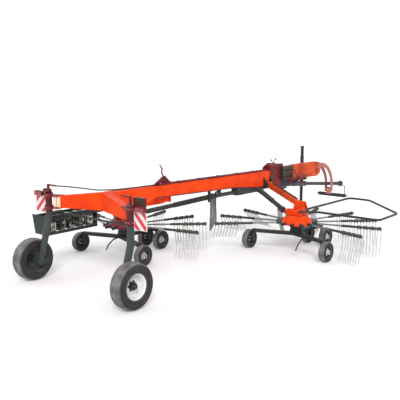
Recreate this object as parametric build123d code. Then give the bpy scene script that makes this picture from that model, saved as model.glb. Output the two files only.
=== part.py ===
from build123d import *
import math
import os

# Trailed hay rake with two rotors, raking to one side.
# Millimetres. While it is modelled, y is 0 at the rear axle and grows towards the hitch,
# x is 0 on the main beam and grows to the machine's right, and z is 0 on the ground.
# At the end every piece is moved so that the origin lies below the middle of the whole machine.

# Main beam: box section, side view as (y, z) corners, deepest above the splitter gearbox
BEAM_HALF = 100
BEAM_BACK = 690
BEAM_FRONT = 5560
BEAM_TOP_BACK = 1645
BEAM_TOP_FRONT = 1575
BEAM_BELLY = [(BEAM_BACK, 1350), (1600, 1368), (1740, 1418), (4100, 1340), (5000, 1250), (BEAM_FRONT, 1240)]

# Rear cross beam: deep in the middle, thin at its ends, its arms swept back to the legs
CROSS_MID = {"x": 0, "y": (550, 730), "z": (1340, 1655)}
CROSS_END = {"x": 930, "y": (228, 368), "z": (1335, 1535)}

# Steered legs and their bearings
LEG_X = 1050
LEG_Y = 220
LEG_R = 60
LEG_TOP = 1592
LEG_KNEE = 1150
LEG_BEND = [(1078, 178, 940, 62), (1072, 95, 660, 60), (1066, 0, 380, 56)]
BEARING_R = 80
BEARING_GAP = 0.5
BEARING_PLATE = 20
BEARINGS = [(1290, 1360), (1510, 1580)]
LEVER_Z = (1215, 1240)
LEVER_REACH = 260
LEVER_PIN_R = 12
TIE_R = 17
TIE_EYE_R = 30
TIE_Z = (1170, 1205)

# Rear wheels
AXLE_Z = 380
TYRE_R = 380
TYRE_WIDTH = 270
RIM_R = 197
RIM_LIP = 10
RIM_DISH = 30
WHEEL_X = 1280
STUB_R = 30
RUN_GAP = 0.5
SEAT_GAP = 0.3
TYRE_SIDES = 36
RIM_SIDES = 24

# Warning boards and lamps on arms of the upper leg bearings
BOARD = {"x": (1135, 1408), "low": 1222, "high": 1508, "thick": 10}
LAMP = {"x": (1185, 1400), "z": (1516, 1604), "deep": 60}
ARM_PLATE = 14
POST_R = 26
POST_TOP = 1745
POST_ARM = 210

# Front end of the frame
PLATE_T = 14
BRACKET_BACK = 5500
BRACKET_FRONT = 6010
BRACKET_Z = (1180, 1300, 1640, 1725)
DRAW_HALF = 80
DRAW_BACK = 5580
DRAW_FRONT = 7800
DRAW_SIDE = [
    (DRAW_BACK, 1320), (DRAW_BACK, 1560), (6700, 1615), (DRAW_FRONT - 80, 1600), (DRAW_FRONT, 1540),
    (DRAW_FRONT, 1330), (DRAW_FRONT - 160, 1250),
]
VALVE_BOX = {"x": (80, 190), "y": (5900, 6350), "z": (1330, 1640)}
INPUT_BOX = {"x": 80, "back": 5900, "front": 6230, "low": 1090, "high": 1300}
JACK = {"x": -190, "y": 7345, "r": 38, "wall": 6, "top": 2005}
JACK_SLEEVE_Z = (1130, 1760)
JACK_FOOT_HALF = 130

# Gooseneck: two curved plates with the drive shaft between them, and the hitch below
HITCH_Y = 8400
NECK_X = (72, 92)
NECK_DEPTH = 95
NECK_ROOT = (DRAW_FRONT - 60, 1520)
NECK_BEND = (HITCH_Y - 150, 1330)
NECK_FOOT = (HITCH_Y, 790)
NECK_SEAT = {"y": (DRAW_FRONT - 160, DRAW_FRONT - 10), "z": (1440, 1560)}
BUSH_R = 60
BUSH_Z = (700, 850)
BUSH_BLOCK_Z = 760
YAW_PIN_R = 26
YAW_CAP_R = 42
YOKE_T = 22
BAR_Y = HITCH_Y + 200
BAR_Z = 650
BAR_HALF = 395
BAR_SIDE = 80
LINK_PIN_R = 14
LINK_PIN_LENGTH = 62
POST_X = 360

# Power shaft
SHAFT_BACK = (INPUT_BOX["front"] + 20, 1195)
SHAFT_FRONT = (9100, 890)
SHAFT_R = 42
SHAFT_GUARD_R = 66
SHAFT_GUARD_LENGTH = 620
INPUT_BORE_R = 17.5
INPUT_BORE_DEPTH = 70

# Splitter gearbox below the beam
SPLIT_Y = (4300, 5090)
SPLIT_HALF = 85
SPLIT_LOW = 1150
SPLIT_TUBE_R = 42
SPLIT_TUBE_BACK = 3652.9
SPLIT_TUBE_Z = 1215
SPLIT_STUB_R = 30
SPLIT_STUB_X = 135.5

# Lever tower on the beam: middle, half length and height above the beam
TOWER = {"y": 2090, "half": 250, "rise": 165, "thick": 40}
HOOK = [(0, 150), (-60, 235), (-40, 300), (-105, 385)]

# Rotors: hub centre, side (+1 right, -1 left), first arm in degrees, the arms that are fitted, the arms' reach,
# hinge of the boom on the frame and pivot of the head along y, and the carriage's skid from the hub centre
ROTORS = {
    "front": {
        "x": 1220, "y": 4890, "side": 1, "first": -14, "arms": 9, "reach": 1755, "boom_y": (5270, 5470),
        "pivot_y": 5050, "skid_x": 390,
    },
    "rear": {
        "x": -1350, "y": 2320, "side": -1, "first": 14, "arms": 6, "reach": 1715, "boom_y": (2090, 2370),
        "pivot_y": 2230, "skid_x": 0,
    },
}
# Side drive shafts: joint centre on the frame, joint centre at the head
SHAFTS = {
    "front": ((150, 5010, 1205), (945, 4800, 865)),
    "rear": ((-30, 3640, 1215), (-975, 2440, 915)),
}
ARM_COUNT = 12
ARM_SIDES = 6
ARM_Z = 630
ARM_INNER_R = 18
ARM_OUTER_R = 28
ARM_STEP = 950
BELL = [(598, 335), (650, 330), (740, 262), (790, 200)]
BELL_SIDES = 24
SOCKET_R = 36
SOCKET_END = 440
COLUMN_R = 55
TINE_WIRE = 10
TINE_LENGTH = 540
TINE_KNEE = 300
TINE_KICK = 60
TINE_PAIR = 36
TINE_BACK = [450, 317, 183, 50]
TINE_RAISED = -42

# Lifting booms
BOOM_PIVOT = (172, 1290)
HEAD_PIVOT_Z = 990
BOOM_DEEP = 130
BOOM_ROOT_W = 130
BOOM_TIP_DEEP = 96
BOOM_TIP_W = 100
PIVOT_R = 25
PIVOT_EYE = 50
HINGE_LUG = 24
LUG_RISE = 170
SIDE_SHAFT_R = 38
SIDE_YOKE_R = 22
CROSS_PIN_R = 14
CROSS_PIN = {"front": (-44, 44), "rear": (-50, 12.4)}
STUB_GAP = {"front": 45, "rear": 32}
CLEAR = 6

# Head: gearbox over the hub and the fork that the boom carries
HEAD_LOW = 802
HEAD_HALF = 165
BOX_TOP = 865
CHEEK_TOP = 1050
CHEEK_T = 25
HOUSING_HALF = 46
INPUT_STUB_R = 32

# Rotor carriage: a column, two arms swept back to the rear wheels and a spine to the leading axle
CAR_Z = (370, 440)
HOUSING = [(CAR_Z[0] + 10, 160), (585, 120)]
CAR_HALF = 38
CAR_ARM_ROOT = -120
CAR_ARM_TIP = (800, -395)
SMALL_R = 205
SMALL_W = 150
SMALL_RIM_R = 105
SMALL_SIDES = 20
SMALL_STUB = 15
CARRIAGE_WHEELS = [(935, -395), (-945, -395), (225, 840), (-225, 840)]
STAY_T = 14
SKID_R = 14

# Guard hoop of the front rotor, (x, y) corners from the hub centre at one height, both ends on the head
GUARD_Z = 900
GUARD_R = 24
GUARD = [(142, 10), (142, 2060), (640, 2060), (1820, 910), (1840, 10), (480, 10), (165, -200)]

# Rack with stowed arms beside the rear rotor
RACK_X = (-1660, -1290)
RACK_FLARE = 80
RACK_Y = (340, 1540)
RACK_Z = (740, 1100)
RACK_PLATE = 8
RACK_RAIL = 40
STOWED = 9
STOWED_COLUMNS = 3
STOWED_ROW = 105

# Swath curtain on the left of the beam: plan points of its near and far end
CURTAIN_ENDS = ((-75, 3555), (-700, 4550))
CURTAIN_Z = (450, 1105)
CURTAIN_T = 8
CARRIER = 35
CARRIER_STAY = 0.5

# Hose in its clips from the left post to the tower, (x, y, z) corners
CONDUIT_R = 11
CONDUIT = [(-640, 325, 1722), (-420, 465, 1700), (-200, 620, 1670), (-60, 900, 1658), (-14, 1400, 1650)]

nodes = {}


def prism(points, along):
    """The polygon through the points, carried along a vector."""
    outline = Wire.make_polygon([Vector(*point) for point in points], close=True)
    return Solid.extrude(Face(outline), Vector(*along))


def block(x, y, z):
    """A box between the low and high value of each axis."""
    corners = [(x[0], y[0], z[0]), (x[1], y[0], z[0]), (x[1], y[1], z[0]), (x[0], y[1], z[0])]
    return prism(corners, (0, 0, z[1] - z[0]))


def slab(outline, x):
    """A side view outline of (y, z) corners, carried from the low to the high x."""
    return prism([(x[0], y, z) for y, z in outline], (x[1] - x[0], 0, 0))


def deck(outline, z):
    """A plan outline of (x, y) corners, carried from the low to the high z."""
    return prism([(x, y, z[0]) for x, y in outline], (0, 0, z[1] - z[0]))


def rod(start, end, radius):
    """A round bar between two points."""
    axis = Vector(*end) - Vector(*start)
    return Solid.make_cylinder(radius, axis.length, Plane(origin=start, z_dir=axis))


def bar(start, end, radius, sides):
    """A straight bar with a regular many-sided section between two points."""
    return mitred([start, end], [radius, radius], sides)


def mitred(points, radii, sides):
    """A many-sided bar along straight runs, mitred at each corner, with its radius at each point."""
    spots = [Vector(*point) for point in points]
    runs = [(b - a).normalized() for a, b in zip(spots, spots[1:])]
    plane = Plane(origin=spots[0], z_dir=runs[0])
    turns = [2 * math.pi * (i + 0.5) / sides for i in range(sides)]
    ring = [plane.from_local_coords(Vector(math.cos(t), math.sin(t), 0) * radii[0]) for t in turns]
    rings = [ring]
    for i, run in enumerate(runs):
        spot = spots[i + 1]
        face = run if i + 1 == len(runs) else (run + runs[i + 1]).normalized()
        moved = [p + run * ((spot - p).dot(face) / run.dot(face)) for p in ring]
        ring = [spot + (p - spot) * (radii[i + 1] / radii[i]) for p in moved]
        rings.append(ring)
    return Solid.make_loft([Wire.make_polygon(r, close=True) for r in rings], ruled=True)


def flat_turned(stations, sides, centre, axis="x"):
    """A body with flat sides about an axis: (place, radius of the flats) stations joined by ruled faces."""
    rings = []
    for place, radius in stations:
        corner = radius / math.cos(math.pi / sides)
        ring = []
        for i in range(sides):
            turn = 2 * math.pi * (i + 0.5) / sides - math.pi / 2
            a, b = corner * math.cos(turn), corner * math.sin(turn)
            ring.append(Vector(place, a, b) if axis == "x" else Vector(a, b, place))
        rings.append(Wire.make_polygon(ring, close=True))
    return Solid.make_loft(rings, ruled=True).moved(Location(centre))


def mirrored_x(shape):
    return shape.mirror(Plane.YZ)


def one(shape):
    """The main solid of a boolean result."""
    return max(shape.solids(), key=lambda solid: solid.volume)


def group(solids):
    return Compound(children=[one(s) if len(s.solids()) == 1 else s for s in solids])


def line_at(low, high, value):
    """Height at a y on the straight line through two (y, z) points."""
    share = (value - low[0]) / (high[0] - low[0])
    return low[1] + share * (high[1] - low[1])


# Main beam and rear cross beam
def cross_half(side):
    sections = []
    for size in (CROSS_MID, CROSS_END):
        x = side * size["x"]
        (y0, y1), (z0, z1) = size["y"], size["z"]
        sections.append(Wire.make_polygon([(x, y0, z0), (x, y1, z0), (x, y1, z1), (x, y0, z1)], close=True))
    return Solid.make_loft(sections, ruled=True)


cross_beam = one(cross_half(1) + cross_half(-1))
beam_outline = BEAM_BELLY + [(BEAM_FRONT, BEAM_TOP_FRONT), (BEAM_BACK, BEAM_TOP_BACK)]
main_beam = one(slab(beam_outline, (-BEAM_HALF, BEAM_HALF)) - cross_beam)
nodes["rear_cross_beam"] = cross_beam
nodes["main_beam"] = main_beam


# Bearings that hold the steered legs
def leg_bearing(side):
    """Two rings round the leg, each on a plate that lies on the cross beam's end."""
    pieces = []
    root_x = CROSS_END["x"] - 110
    back, ahead = CROSS_END["y"]
    for (low, high), seat, up in zip(BEARINGS, CROSS_END["z"], (-1, 1)):
        ring = flat_turned([(low, BEARING_R), (high, BEARING_R)], 16, (LEG_X, LEG_Y, 0), "z")
        z = sorted((seat, seat + up * BEARING_PLATE))
        web = deck(
            [(LEG_X, LEG_Y - BEARING_R + 6), (LEG_X, LEG_Y + BEARING_R - 6), (root_x, ahead + 40), (root_x, back)],
            z,
        )
        hole = rod((LEG_X, LEG_Y, low - 1), (LEG_X, LEG_Y, high + 1), LEG_R + BEARING_GAP)
        pieces.append(one(ring + web - hole - cross_beam))
    if side < 0:
        pieces = [mirrored_x(piece) for piece in pieces]
    return pieces


nodes["leg_bearings"] = group(leg_bearing(1) + leg_bearing(-1))


# Steered legs with steering lever, bent foot and stub axle
def leg(side):
    tube = rod((LEG_X, LEG_Y, LEG_KNEE), (LEG_X, LEG_Y, LEG_TOP), LEG_R)
    foot = mitred([(LEG_X, LEG_Y, LEG_KNEE + 30)] + [bend[:3] for bend in LEG_BEND], [LEG_R] + [bend[3] for bend in LEG_BEND], 12)
    foot_x = LEG_BEND[-1][0]
    stub = rod((foot_x, 0, AXLE_Z), (WHEEL_X + 60, 0, AXLE_Z), STUB_R)
    flange = bar((foot_x - 40, 0, AXLE_Z), (foot_x + 50, 0, AXLE_Z), 72, 12)
    tip_y = LEG_Y + LEVER_REACH
    lever = deck(
        [(LEG_X - 60, LEG_Y), (LEG_X + 60, LEG_Y), (LEG_X + 35, tip_y + 30), (LEG_X - 35, tip_y + 30)],
        LEVER_Z,
    )
    pin = rod((LEG_X, tip_y, TIE_Z[0] - 10), (LEG_X, tip_y, LEVER_Z[1]), LEVER_PIN_R)
    collar = bar((LEG_X, LEG_Y, BEARINGS[1][1] + SEAT_GAP), (LEG_X, LEG_Y, LEG_TOP), LEG_R + 14, 16)
    shape = one(tube + foot + stub + flange + lever + pin + collar)
    return shape if side > 0 else mirrored_x(shape)


nodes["leg_right"] = leg(1)
nodes["leg_left"] = leg(-1)

tie_y = LEG_Y + LEVER_REACH
tie = bar((-LEG_X, tie_y, sum(TIE_Z) / 2), (LEG_X, tie_y, sum(TIE_Z) / 2), TIE_R, 8)
for sign, gap in ((-1, BEARING_GAP), (1, CLEAR)):
    tie = tie + bar((sign * LEG_X, tie_y, TIE_Z[0]), (sign * LEG_X, tie_y, TIE_Z[1]), TIE_EYE_R, 12)
    tie = tie - rod((sign * LEG_X, tie_y, TIE_Z[0] - 1), (sign * LEG_X, tie_y, TIE_Z[1] + 1), LEVER_PIN_R + gap)
nodes["tie_rod"] = one(tie)


# Rear wheels
def tyre_body(radius, width, rim_radius):
    """Stations of a tyre's outside: bead, bulge, shoulder and tread on each side."""
    right = [
        (0.22 * width, radius), (0.42 * width, 0.96 * radius),
        (0.5 * width, 0.5 * (rim_radius + radius)), (0.36 * width, rim_radius + RIM_LIP + 2),
    ]
    return [(-x, r) for x, r in reversed(right)] + right


def rear_tyre(centre):
    bead = 0.36 * TYRE_WIDTH
    outside = flat_turned(tyre_body(TYRE_R, TYRE_WIDTH, RIM_R), TYRE_SIDES, centre)
    return one(outside - flat_turned([(-bead - 1, RIM_R), (bead + 1, RIM_R)], RIM_SIDES, centre))


def rear_rim(side, centre):
    """Barrel with two lips, dished disc and hub. The dish opens to the outside."""
    edge = 0.36 * TYRE_WIDTH + SEAT_GAP
    seat = RIM_R - SEAT_GAP
    lip = RIM_R + RIM_LIP
    inner = 0.92 * RIM_R
    half = 0.5 * RIM_R
    hub = 0.3 * TYRE_WIDTH

    def turned(stations):
        return flat_turned([(side * x, r) for x, r in stations], RIM_SIDES, centre)

    body = turned([
        (-edge - 8, lip), (-edge, lip), (-edge + 0.01, seat), (edge - 0.01, seat), (edge, lip),
        (edge + 8, lip),
    ])
    body = body - turned([(edge + 9, inner), (RIM_DISH + 8, inner), (RIM_DISH - 12, half)])
    body = body - turned([(-edge - 9, inner), (RIM_DISH - 10, inner), (RIM_DISH - 30, half)])
    body = body + turned([(RIM_DISH - hub, 0.3 * RIM_R), (RIM_DISH + 0.1 * TYRE_WIDTH, 0.3 * RIM_R)])
    x = centre[0]
    body = body - rod((x - TYRE_WIDTH, 0, AXLE_Z), (x + TYRE_WIDTH, 0, AXLE_Z), STUB_R + RUN_GAP)
    return one(body)


for name, sign in (("right", 1), ("left", -1)):
    hub = (sign * WHEEL_X, 0, AXLE_Z)
    nodes["tyre_" + name] = rear_tyre(hub)
    nodes["rim_" + name] = rear_rim(sign, hub)


# Warning boards and lamps on arms of the upper leg bearings
def board(side):
    panel = block(
        BOARD["x"], (LEG_Y - BOARD["thick"] / 2, LEG_Y + BOARD["thick"] / 2), (BOARD["low"], BOARD["high"]),
    )
    return panel if side > 0 else mirrored_x(panel)


def board_arm(side):
    """Riser on the bearing ring, carrier of the board and lamp, and a post with a short arm over the leg."""
    ring_low, ring_high = BEARINGS[1]
    board_front = LEG_Y + BOARD["thick"] / 2
    riser_x = LEG_X + BEARING_R + 4
    roof_z = LEG_TOP + CLEAR + 8
    carrier = block(
        (riser_x, BOARD["x"][1] - 30), (board_front, board_front + ARM_PLATE),
        (ring_low + 8, ring_high - 8),
    )
    carrier = carrier + block(
        (LEG_X + 40, riser_x + 30), (board_front, board_front + 40), (ring_low + 8, ring_high - 8),
    )
    strap_x = (sum(LAMP["x"]) / 2 - 40, sum(LAMP["x"]) / 2 + 40)
    carrier = carrier + block(
        strap_x, (board_front, board_front + ARM_PLATE), (BOARD["low"] + 60, ring_high - 8),
    )
    carrier = carrier + block(
        (riser_x + 4, riser_x + 30), (board_front, board_front + 40), (ring_high - 8, roof_z + ARM_PLATE),
    )
    carrier = carrier + block(
        (LEG_X - 40, riser_x + 30), (LEG_Y - 40, LEG_Y + 45), (roof_z, roof_z + ARM_PLATE),
    )
    carrier = carrier + bar((LEG_X, LEG_Y, roof_z), (LEG_X, LEG_Y, POST_TOP), POST_R, 8)
    carrier = carrier + bar((LEG_X, LEG_Y, POST_TOP - 15), (LEG_X - POST_ARM, LEG_Y, POST_TOP - 15), 16, 8)
    ring = flat_turned([(ring_low - 1, BEARING_R), (ring_high + 1, BEARING_R)], 16, (LEG_X, LEG_Y, 0), "z")
    carrier = one(carrier - ring)
    return carrier if side > 0 else mirrored_x(carrier)


def lamp(side):
    """Lamp housing on top of the carrier, wider at its front."""
    low, high = LAMP["z"]
    front = LEG_Y + BOARD["thick"] / 2
    outline = [(front, low), (front, high), (front - LAMP["deep"], high - 14), (front - LAMP["deep"], low + 4)]
    body = slab(outline, LAMP["x"])
    return body if side > 0 else mirrored_x(body)


nodes["warning_boards"] = group([board(1), board(-1)])
nodes["board_arms"] = group([board_arm(1), board_arm(-1)])
nodes["tail_lamps"] = group([lamp(1), lamp(-1)])

# Bracket, drawbar head and boxes in front of the main beam
low, chin, shoulder, crown = BRACKET_Z
bracket_side = [
    (BRACKET_BACK, low), (BRACKET_BACK, shoulder), (BRACKET_BACK + 200, crown),
    (BRACKET_FRONT, crown - 20), (BRACKET_FRONT, chin), (BRACKET_FRONT - 140, low),
]
plates = [
    slab(bracket_side, (BEAM_HALF, BEAM_HALF + PLATE_T)),
    slab(bracket_side, (-BEAM_HALF - PLATE_T, -BEAM_HALF)),
]
nodes["drawbar_bracket"] = group(plates)
drawbar = slab(DRAW_SIDE, (-DRAW_HALF, DRAW_HALF))
spacer_y = (BRACKET_BACK + 100, BRACKET_FRONT - 60)
for x in ((-BEAM_HALF, -DRAW_HALF), (DRAW_HALF, BEAM_HALF)):
    drawbar = drawbar + block(x, spacer_y, (1350, 1540))
drawbar = one(drawbar)
nodes["drawbar"] = drawbar
valve_box = block(VALVE_BOX["x"], VALVE_BOX["y"], VALVE_BOX["z"]) - plates[0] - drawbar
nodes["valve_box"] = one(valve_box)
box_x = (-INPUT_BOX["x"], INPUT_BOX["x"])
input_box = block(box_x, (INPUT_BOX["back"], INPUT_BOX["front"]), (INPUT_BOX["low"], 1400)) - drawbar
nodes["input_gearbox"] = one(input_box)

# Jack on the left of the drawbar
jack_at = (JACK["x"], JACK["y"])
sleeve = rod((*jack_at, JACK_SLEEVE_Z[0]), (*jack_at, JACK_SLEEVE_Z[1]), JACK["r"] + JACK["wall"])
sleeve = sleeve + block((JACK["x"], -DRAW_HALF), (JACK["y"] - 40, JACK["y"] + 40), (1330, 1520))
sleeve = sleeve - rod((*jack_at, JACK_SLEEVE_Z[0] - 1), (*jack_at, JACK_SLEEVE_Z[1] + 1), JACK["r"] + RUN_GAP)
nodes["jack_sleeve"] = one(sleeve - drawbar)
jack = rod((*jack_at, 12), (*jack_at, JACK["top"]), JACK["r"])
jack = jack + bar((*jack_at, 0), (*jack_at, 20), JACK_FOOT_HALF, 12)
nodes["jack_leg"] = one(jack)


# Gooseneck and hitch
def gooseneck_plate(x):
    """A curved plate whose middle line is an arc from the drawbar's end down to the bush."""
    middle = Edge.make_three_point_arc((0, *NECK_ROOT), (0, *NECK_BEND), (0, *NECK_FOOT))
    steps = 8
    outer = []
    inner = []
    for i in range(steps + 1):
        point, tangent = middle @ (i / steps), middle % (i / steps)
        side = Vector(0, tangent.Z, -tangent.Y) * (NECK_DEPTH / 2)
        outer.append(((point + side).Y, (point + side).Z))
        inner.append(((point - side).Y, (point - side).Z))
    return slab(outer + inner[::-1], x)


neck = gooseneck_plate(NECK_X) + gooseneck_plate((-NECK_X[1], -NECK_X[0]))
neck = neck + block((-NECK_X[1], NECK_X[1]), (HITCH_Y - 48, HITCH_Y + 48), (BUSH_BLOCK_Z, BUSH_Z[1]))
neck = neck + bar((0, HITCH_Y, BUSH_Z[0]), (0, HITCH_Y, BUSH_Z[1]), BUSH_R, 16)
for x in ((DRAW_HALF, NECK_X[1]), (-NECK_X[1], -DRAW_HALF)):
    neck = neck + block(x, NECK_SEAT["y"], NECK_SEAT["z"])
neck = neck - rod((0, HITCH_Y, BUSH_Z[0] - 1), (0, HITCH_Y, BUSH_Z[1] + 1), YAW_PIN_R + BEARING_GAP)
nodes["gooseneck"] = one(neck - drawbar)

yoke_z = (BUSH_Z[0] - CLEAR - YOKE_T, BUSH_Z[0] - CLEAR)
yoke = deck([(-60, HITCH_Y - 55), (60, HITCH_Y - 55), (90, BAR_Y), (-90, BAR_Y)], yoke_z)
yoke = yoke + rod((0, HITCH_Y, yoke_z[0]), (0, HITCH_Y, BUSH_Z[1] + 20), YAW_PIN_R)
yoke = yoke + bar((0, HITCH_Y, BUSH_Z[1] + SEAT_GAP), (0, HITCH_Y, BUSH_Z[1] + 20), YAW_CAP_R, 12)
yoke = yoke + block(
    (-BAR_HALF, BAR_HALF), (BAR_Y - BAR_SIDE / 2, BAR_Y + BAR_SIDE / 2),
    (BAR_Z - BAR_SIDE / 2, BAR_Z + BAR_SIDE / 2),
)
for sign in (-1, 1):
    yoke = yoke + rod(
        (sign * BAR_HALF, BAR_Y, BAR_Z), (sign * (BAR_HALF + LINK_PIN_LENGTH), BAR_Y, BAR_Z), LINK_PIN_R,
    )
yoke = yoke + bar((POST_X, BAR_Y, BAR_Z), (POST_X, BAR_Y, BAR_Z + 260), 9, 6)
nodes["hitch_yoke"] = one(yoke)

# Power shaft with its guard and its input end
back = (0, *SHAFT_BACK)
front = (0, *SHAFT_FRONT)
axis = (Vector(*front) - Vector(*back)).normalized()
power = bar(back, front, SHAFT_R, 16)
power = power + bar(Vector(*back) - axis * 45, Vector(*back) + axis * SHAFT_GUARD_LENGTH, SHAFT_GUARD_R, 16)
power = power + bar(Vector(*front) - axis * 190, Vector(*front), SHAFT_GUARD_R, 16)
power = power - rod(Vector(*front) - axis * INPUT_BORE_DEPTH, Vector(*front) + axis * 5, INPUT_BORE_R)
nodes["power_shaft"] = one(power - nodes["input_gearbox"])

# Splitter gearbox and its rear tube below the beam
splitter = block((-SPLIT_HALF, SPLIT_HALF), SPLIT_Y, (SPLIT_LOW, 1400))
splitter = one(splitter - main_beam)
stub = rod(
    (0, SHAFTS["front"][0][1], SHAFTS["front"][0][2]),
    (SPLIT_STUB_X, SHAFTS["front"][0][1], SHAFTS["front"][0][2]), SPLIT_STUB_R,
)
tube = rod((0, SPLIT_TUBE_BACK, SPLIT_TUBE_Z), (0, SPLIT_Y[0], SPLIT_TUBE_Z), SPLIT_TUBE_R)
hanger = block((-30, 30), (SPLIT_TUBE_BACK + 90, SPLIT_TUBE_BACK + 150), (SPLIT_TUBE_Z, 1400)) - main_beam
feed = bar((0, SPLIT_Y[1], 1190), (0, INPUT_BOX["back"], 1190), 32, 12)
hanger = min(hanger.solids(), key=lambda solid: solid.center().Z)
nodes["splitter_gearbox"] = one(splitter + tube + hanger + feed + stub)

# Bell crank tower on top of the beam, with its hooked lever
def beam_top(y):
    return line_at((BEAM_BACK, BEAM_TOP_BACK), (BEAM_FRONT, BEAM_TOP_FRONT), y)


tower_y, tower_half, rise = TOWER["y"], TOWER["half"], TOWER["rise"]
foot_z = beam_top(tower_y)
outline = [
    (tower_y - tower_half, foot_z - 20), (tower_y + tower_half, foot_z - 20), (tower_y + 130, foot_z + 70),
    (tower_y + 30, foot_z + rise), (tower_y - 40, foot_z + rise - 20), (tower_y - tower_half, foot_z + 30),
]
tower = slab(outline, (-TOWER["thick"] / 2, TOWER["thick"] / 2))
hook = [(0, tower_y + y, foot_z + z) for y, z in HOOK]
tower = tower + mitred(hook, [15, 13, 13, 10], 6)
nodes["lever_tower"] = one(tower - main_beam)

# Pipe from the left post to the tower
pipe_start = (-(LEG_X - POST_ARM), LEG_Y, POST_TOP - 15)
pipe_end = (-14, tower_y - tower_half + 4, beam_top(tower_y - tower_half) + CONDUIT_R + 3)
route = [pipe_start] + CONDUIT + [pipe_end]
conduit = mitred(route, [CONDUIT_R] * len(route), 6)
nodes["conduit"] = one(one(conduit - nodes["lever_tower"]) - board_arm(-1))


# Rotors
def tine_arm(inner, reach, raised):
    """One arm along +X from the hub, its spring tines below it, or swung back where it is raised."""
    shape = bar((inner, 0, 0), (ARM_STEP, 0, 0), ARM_INNER_R, ARM_SIDES) + bar((ARM_STEP, 0, 0), (reach, 0, 0), ARM_OUTER_R, ARM_SIDES)
    half = TINE_WIRE / 2
    for back in TINE_BACK:
        for shift in (-TINE_PAIR, TINE_PAIR):
            x = reach - back + shift - half
            tip = half - TINE_KICK
            outline = [
                (-half, 0), (-half, -TINE_KNEE), (tip - TINE_WIRE, -TINE_LENGTH), (tip, -TINE_LENGTH),
                (half, -TINE_KNEE), (half, 0),
            ]
            finger = prism([(x, y, z) for y, z in outline], (TINE_WIRE, 0, 0))
            shape = shape + (finger.rotate(Axis.X, TINE_RAISED) if raised else finger)
    return one(shape)


def rotor_hub(x, y, first):
    """Bell with a socket for each arm, turning on the carriage's column."""
    hub = flat_turned(BELL, BELL_SIDES, (x, y, 0), "z")
    for i in range(ARM_COUNT):
        angle = math.radians(first + i * 360 / ARM_COUNT)
        reach = (x + SOCKET_END * math.cos(angle), y + SOCKET_END * math.sin(angle), ARM_Z)
        hub = hub + bar((x, y, ARM_Z), reach, SOCKET_R, ARM_SIDES)
    return one(hub - rod((x, y, ARM_Z - SOCKET_R - 2), (x, y, BELL[-1][0] + 1), COLUMN_R + RUN_GAP))


def rotor_head(name, spec):
    """Gearbox with its input stub, and the fork whose pin the boom holds."""
    x, y, side = spec["x"], spec["y"], spec["side"]
    pivot_y = spec["pivot_y"]
    reach = BOOM_TIP_W / 2 + CLEAR
    tip = SHAFTS[name][1]
    ahead = max(HEAD_HALF, pivot_y + reach + CHEEK_T + 10 - y)
    head = block((x - HEAD_HALF, x + HEAD_HALF), (y - HEAD_HALF, y + ahead), (HEAD_LOW, BOX_TOP))
    for sign in (-1, 1):
        cheek_y = sorted((pivot_y + sign * reach, pivot_y + sign * (reach + CHEEK_T)))
        cheek = [(x - 130, BOX_TOP - 5), (x + 130, BOX_TOP - 5), (x + 60, CHEEK_TOP), (x - 60, CHEEK_TOP)]
        head = head + prism([(a, cheek_y[0], b) for a, b in cheek], (0, CHEEK_T, 0))
    head = head + rod(
        (x, pivot_y - reach - CHEEK_T - 12, HEAD_PIVOT_Z),
        (x, pivot_y + reach + CHEEK_T + 12, HEAD_PIVOT_Z), PIVOT_R,
    )
    face_x = x - side * HEAD_HALF
    housing_x = sorted((face_x + side * 5, x))
    housing_z = (min(tip[2] - HOUSING_HALF, BOX_TOP - 20), tip[2] + HOUSING_HALF)
    head = head + block(housing_x, (tip[1] - HOUSING_HALF, tip[1] + HOUSING_HALF), housing_z)
    head = head + bar(
        (face_x + side * 10, *tip[1:]), (tip[0] + side * STUB_GAP[name], *tip[1:]), INPUT_STUB_R, 12,
    )
    if name == "front":
        for gx, gy in (GUARD[0], GUARD[-1]):
            lug_x = (x + gx - 40, x + gx + 32)
            lug_y = sorted((y + gy + 30, y + gy - 45))
            head = head + block(lug_x, lug_y, (BOX_TOP - 30, GUARD_Z + 38))
            head = head + block((x, x + gx + 32), lug_y, (BOX_TOP - 40, BOX_TOP - 8))
    return one(head)


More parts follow.
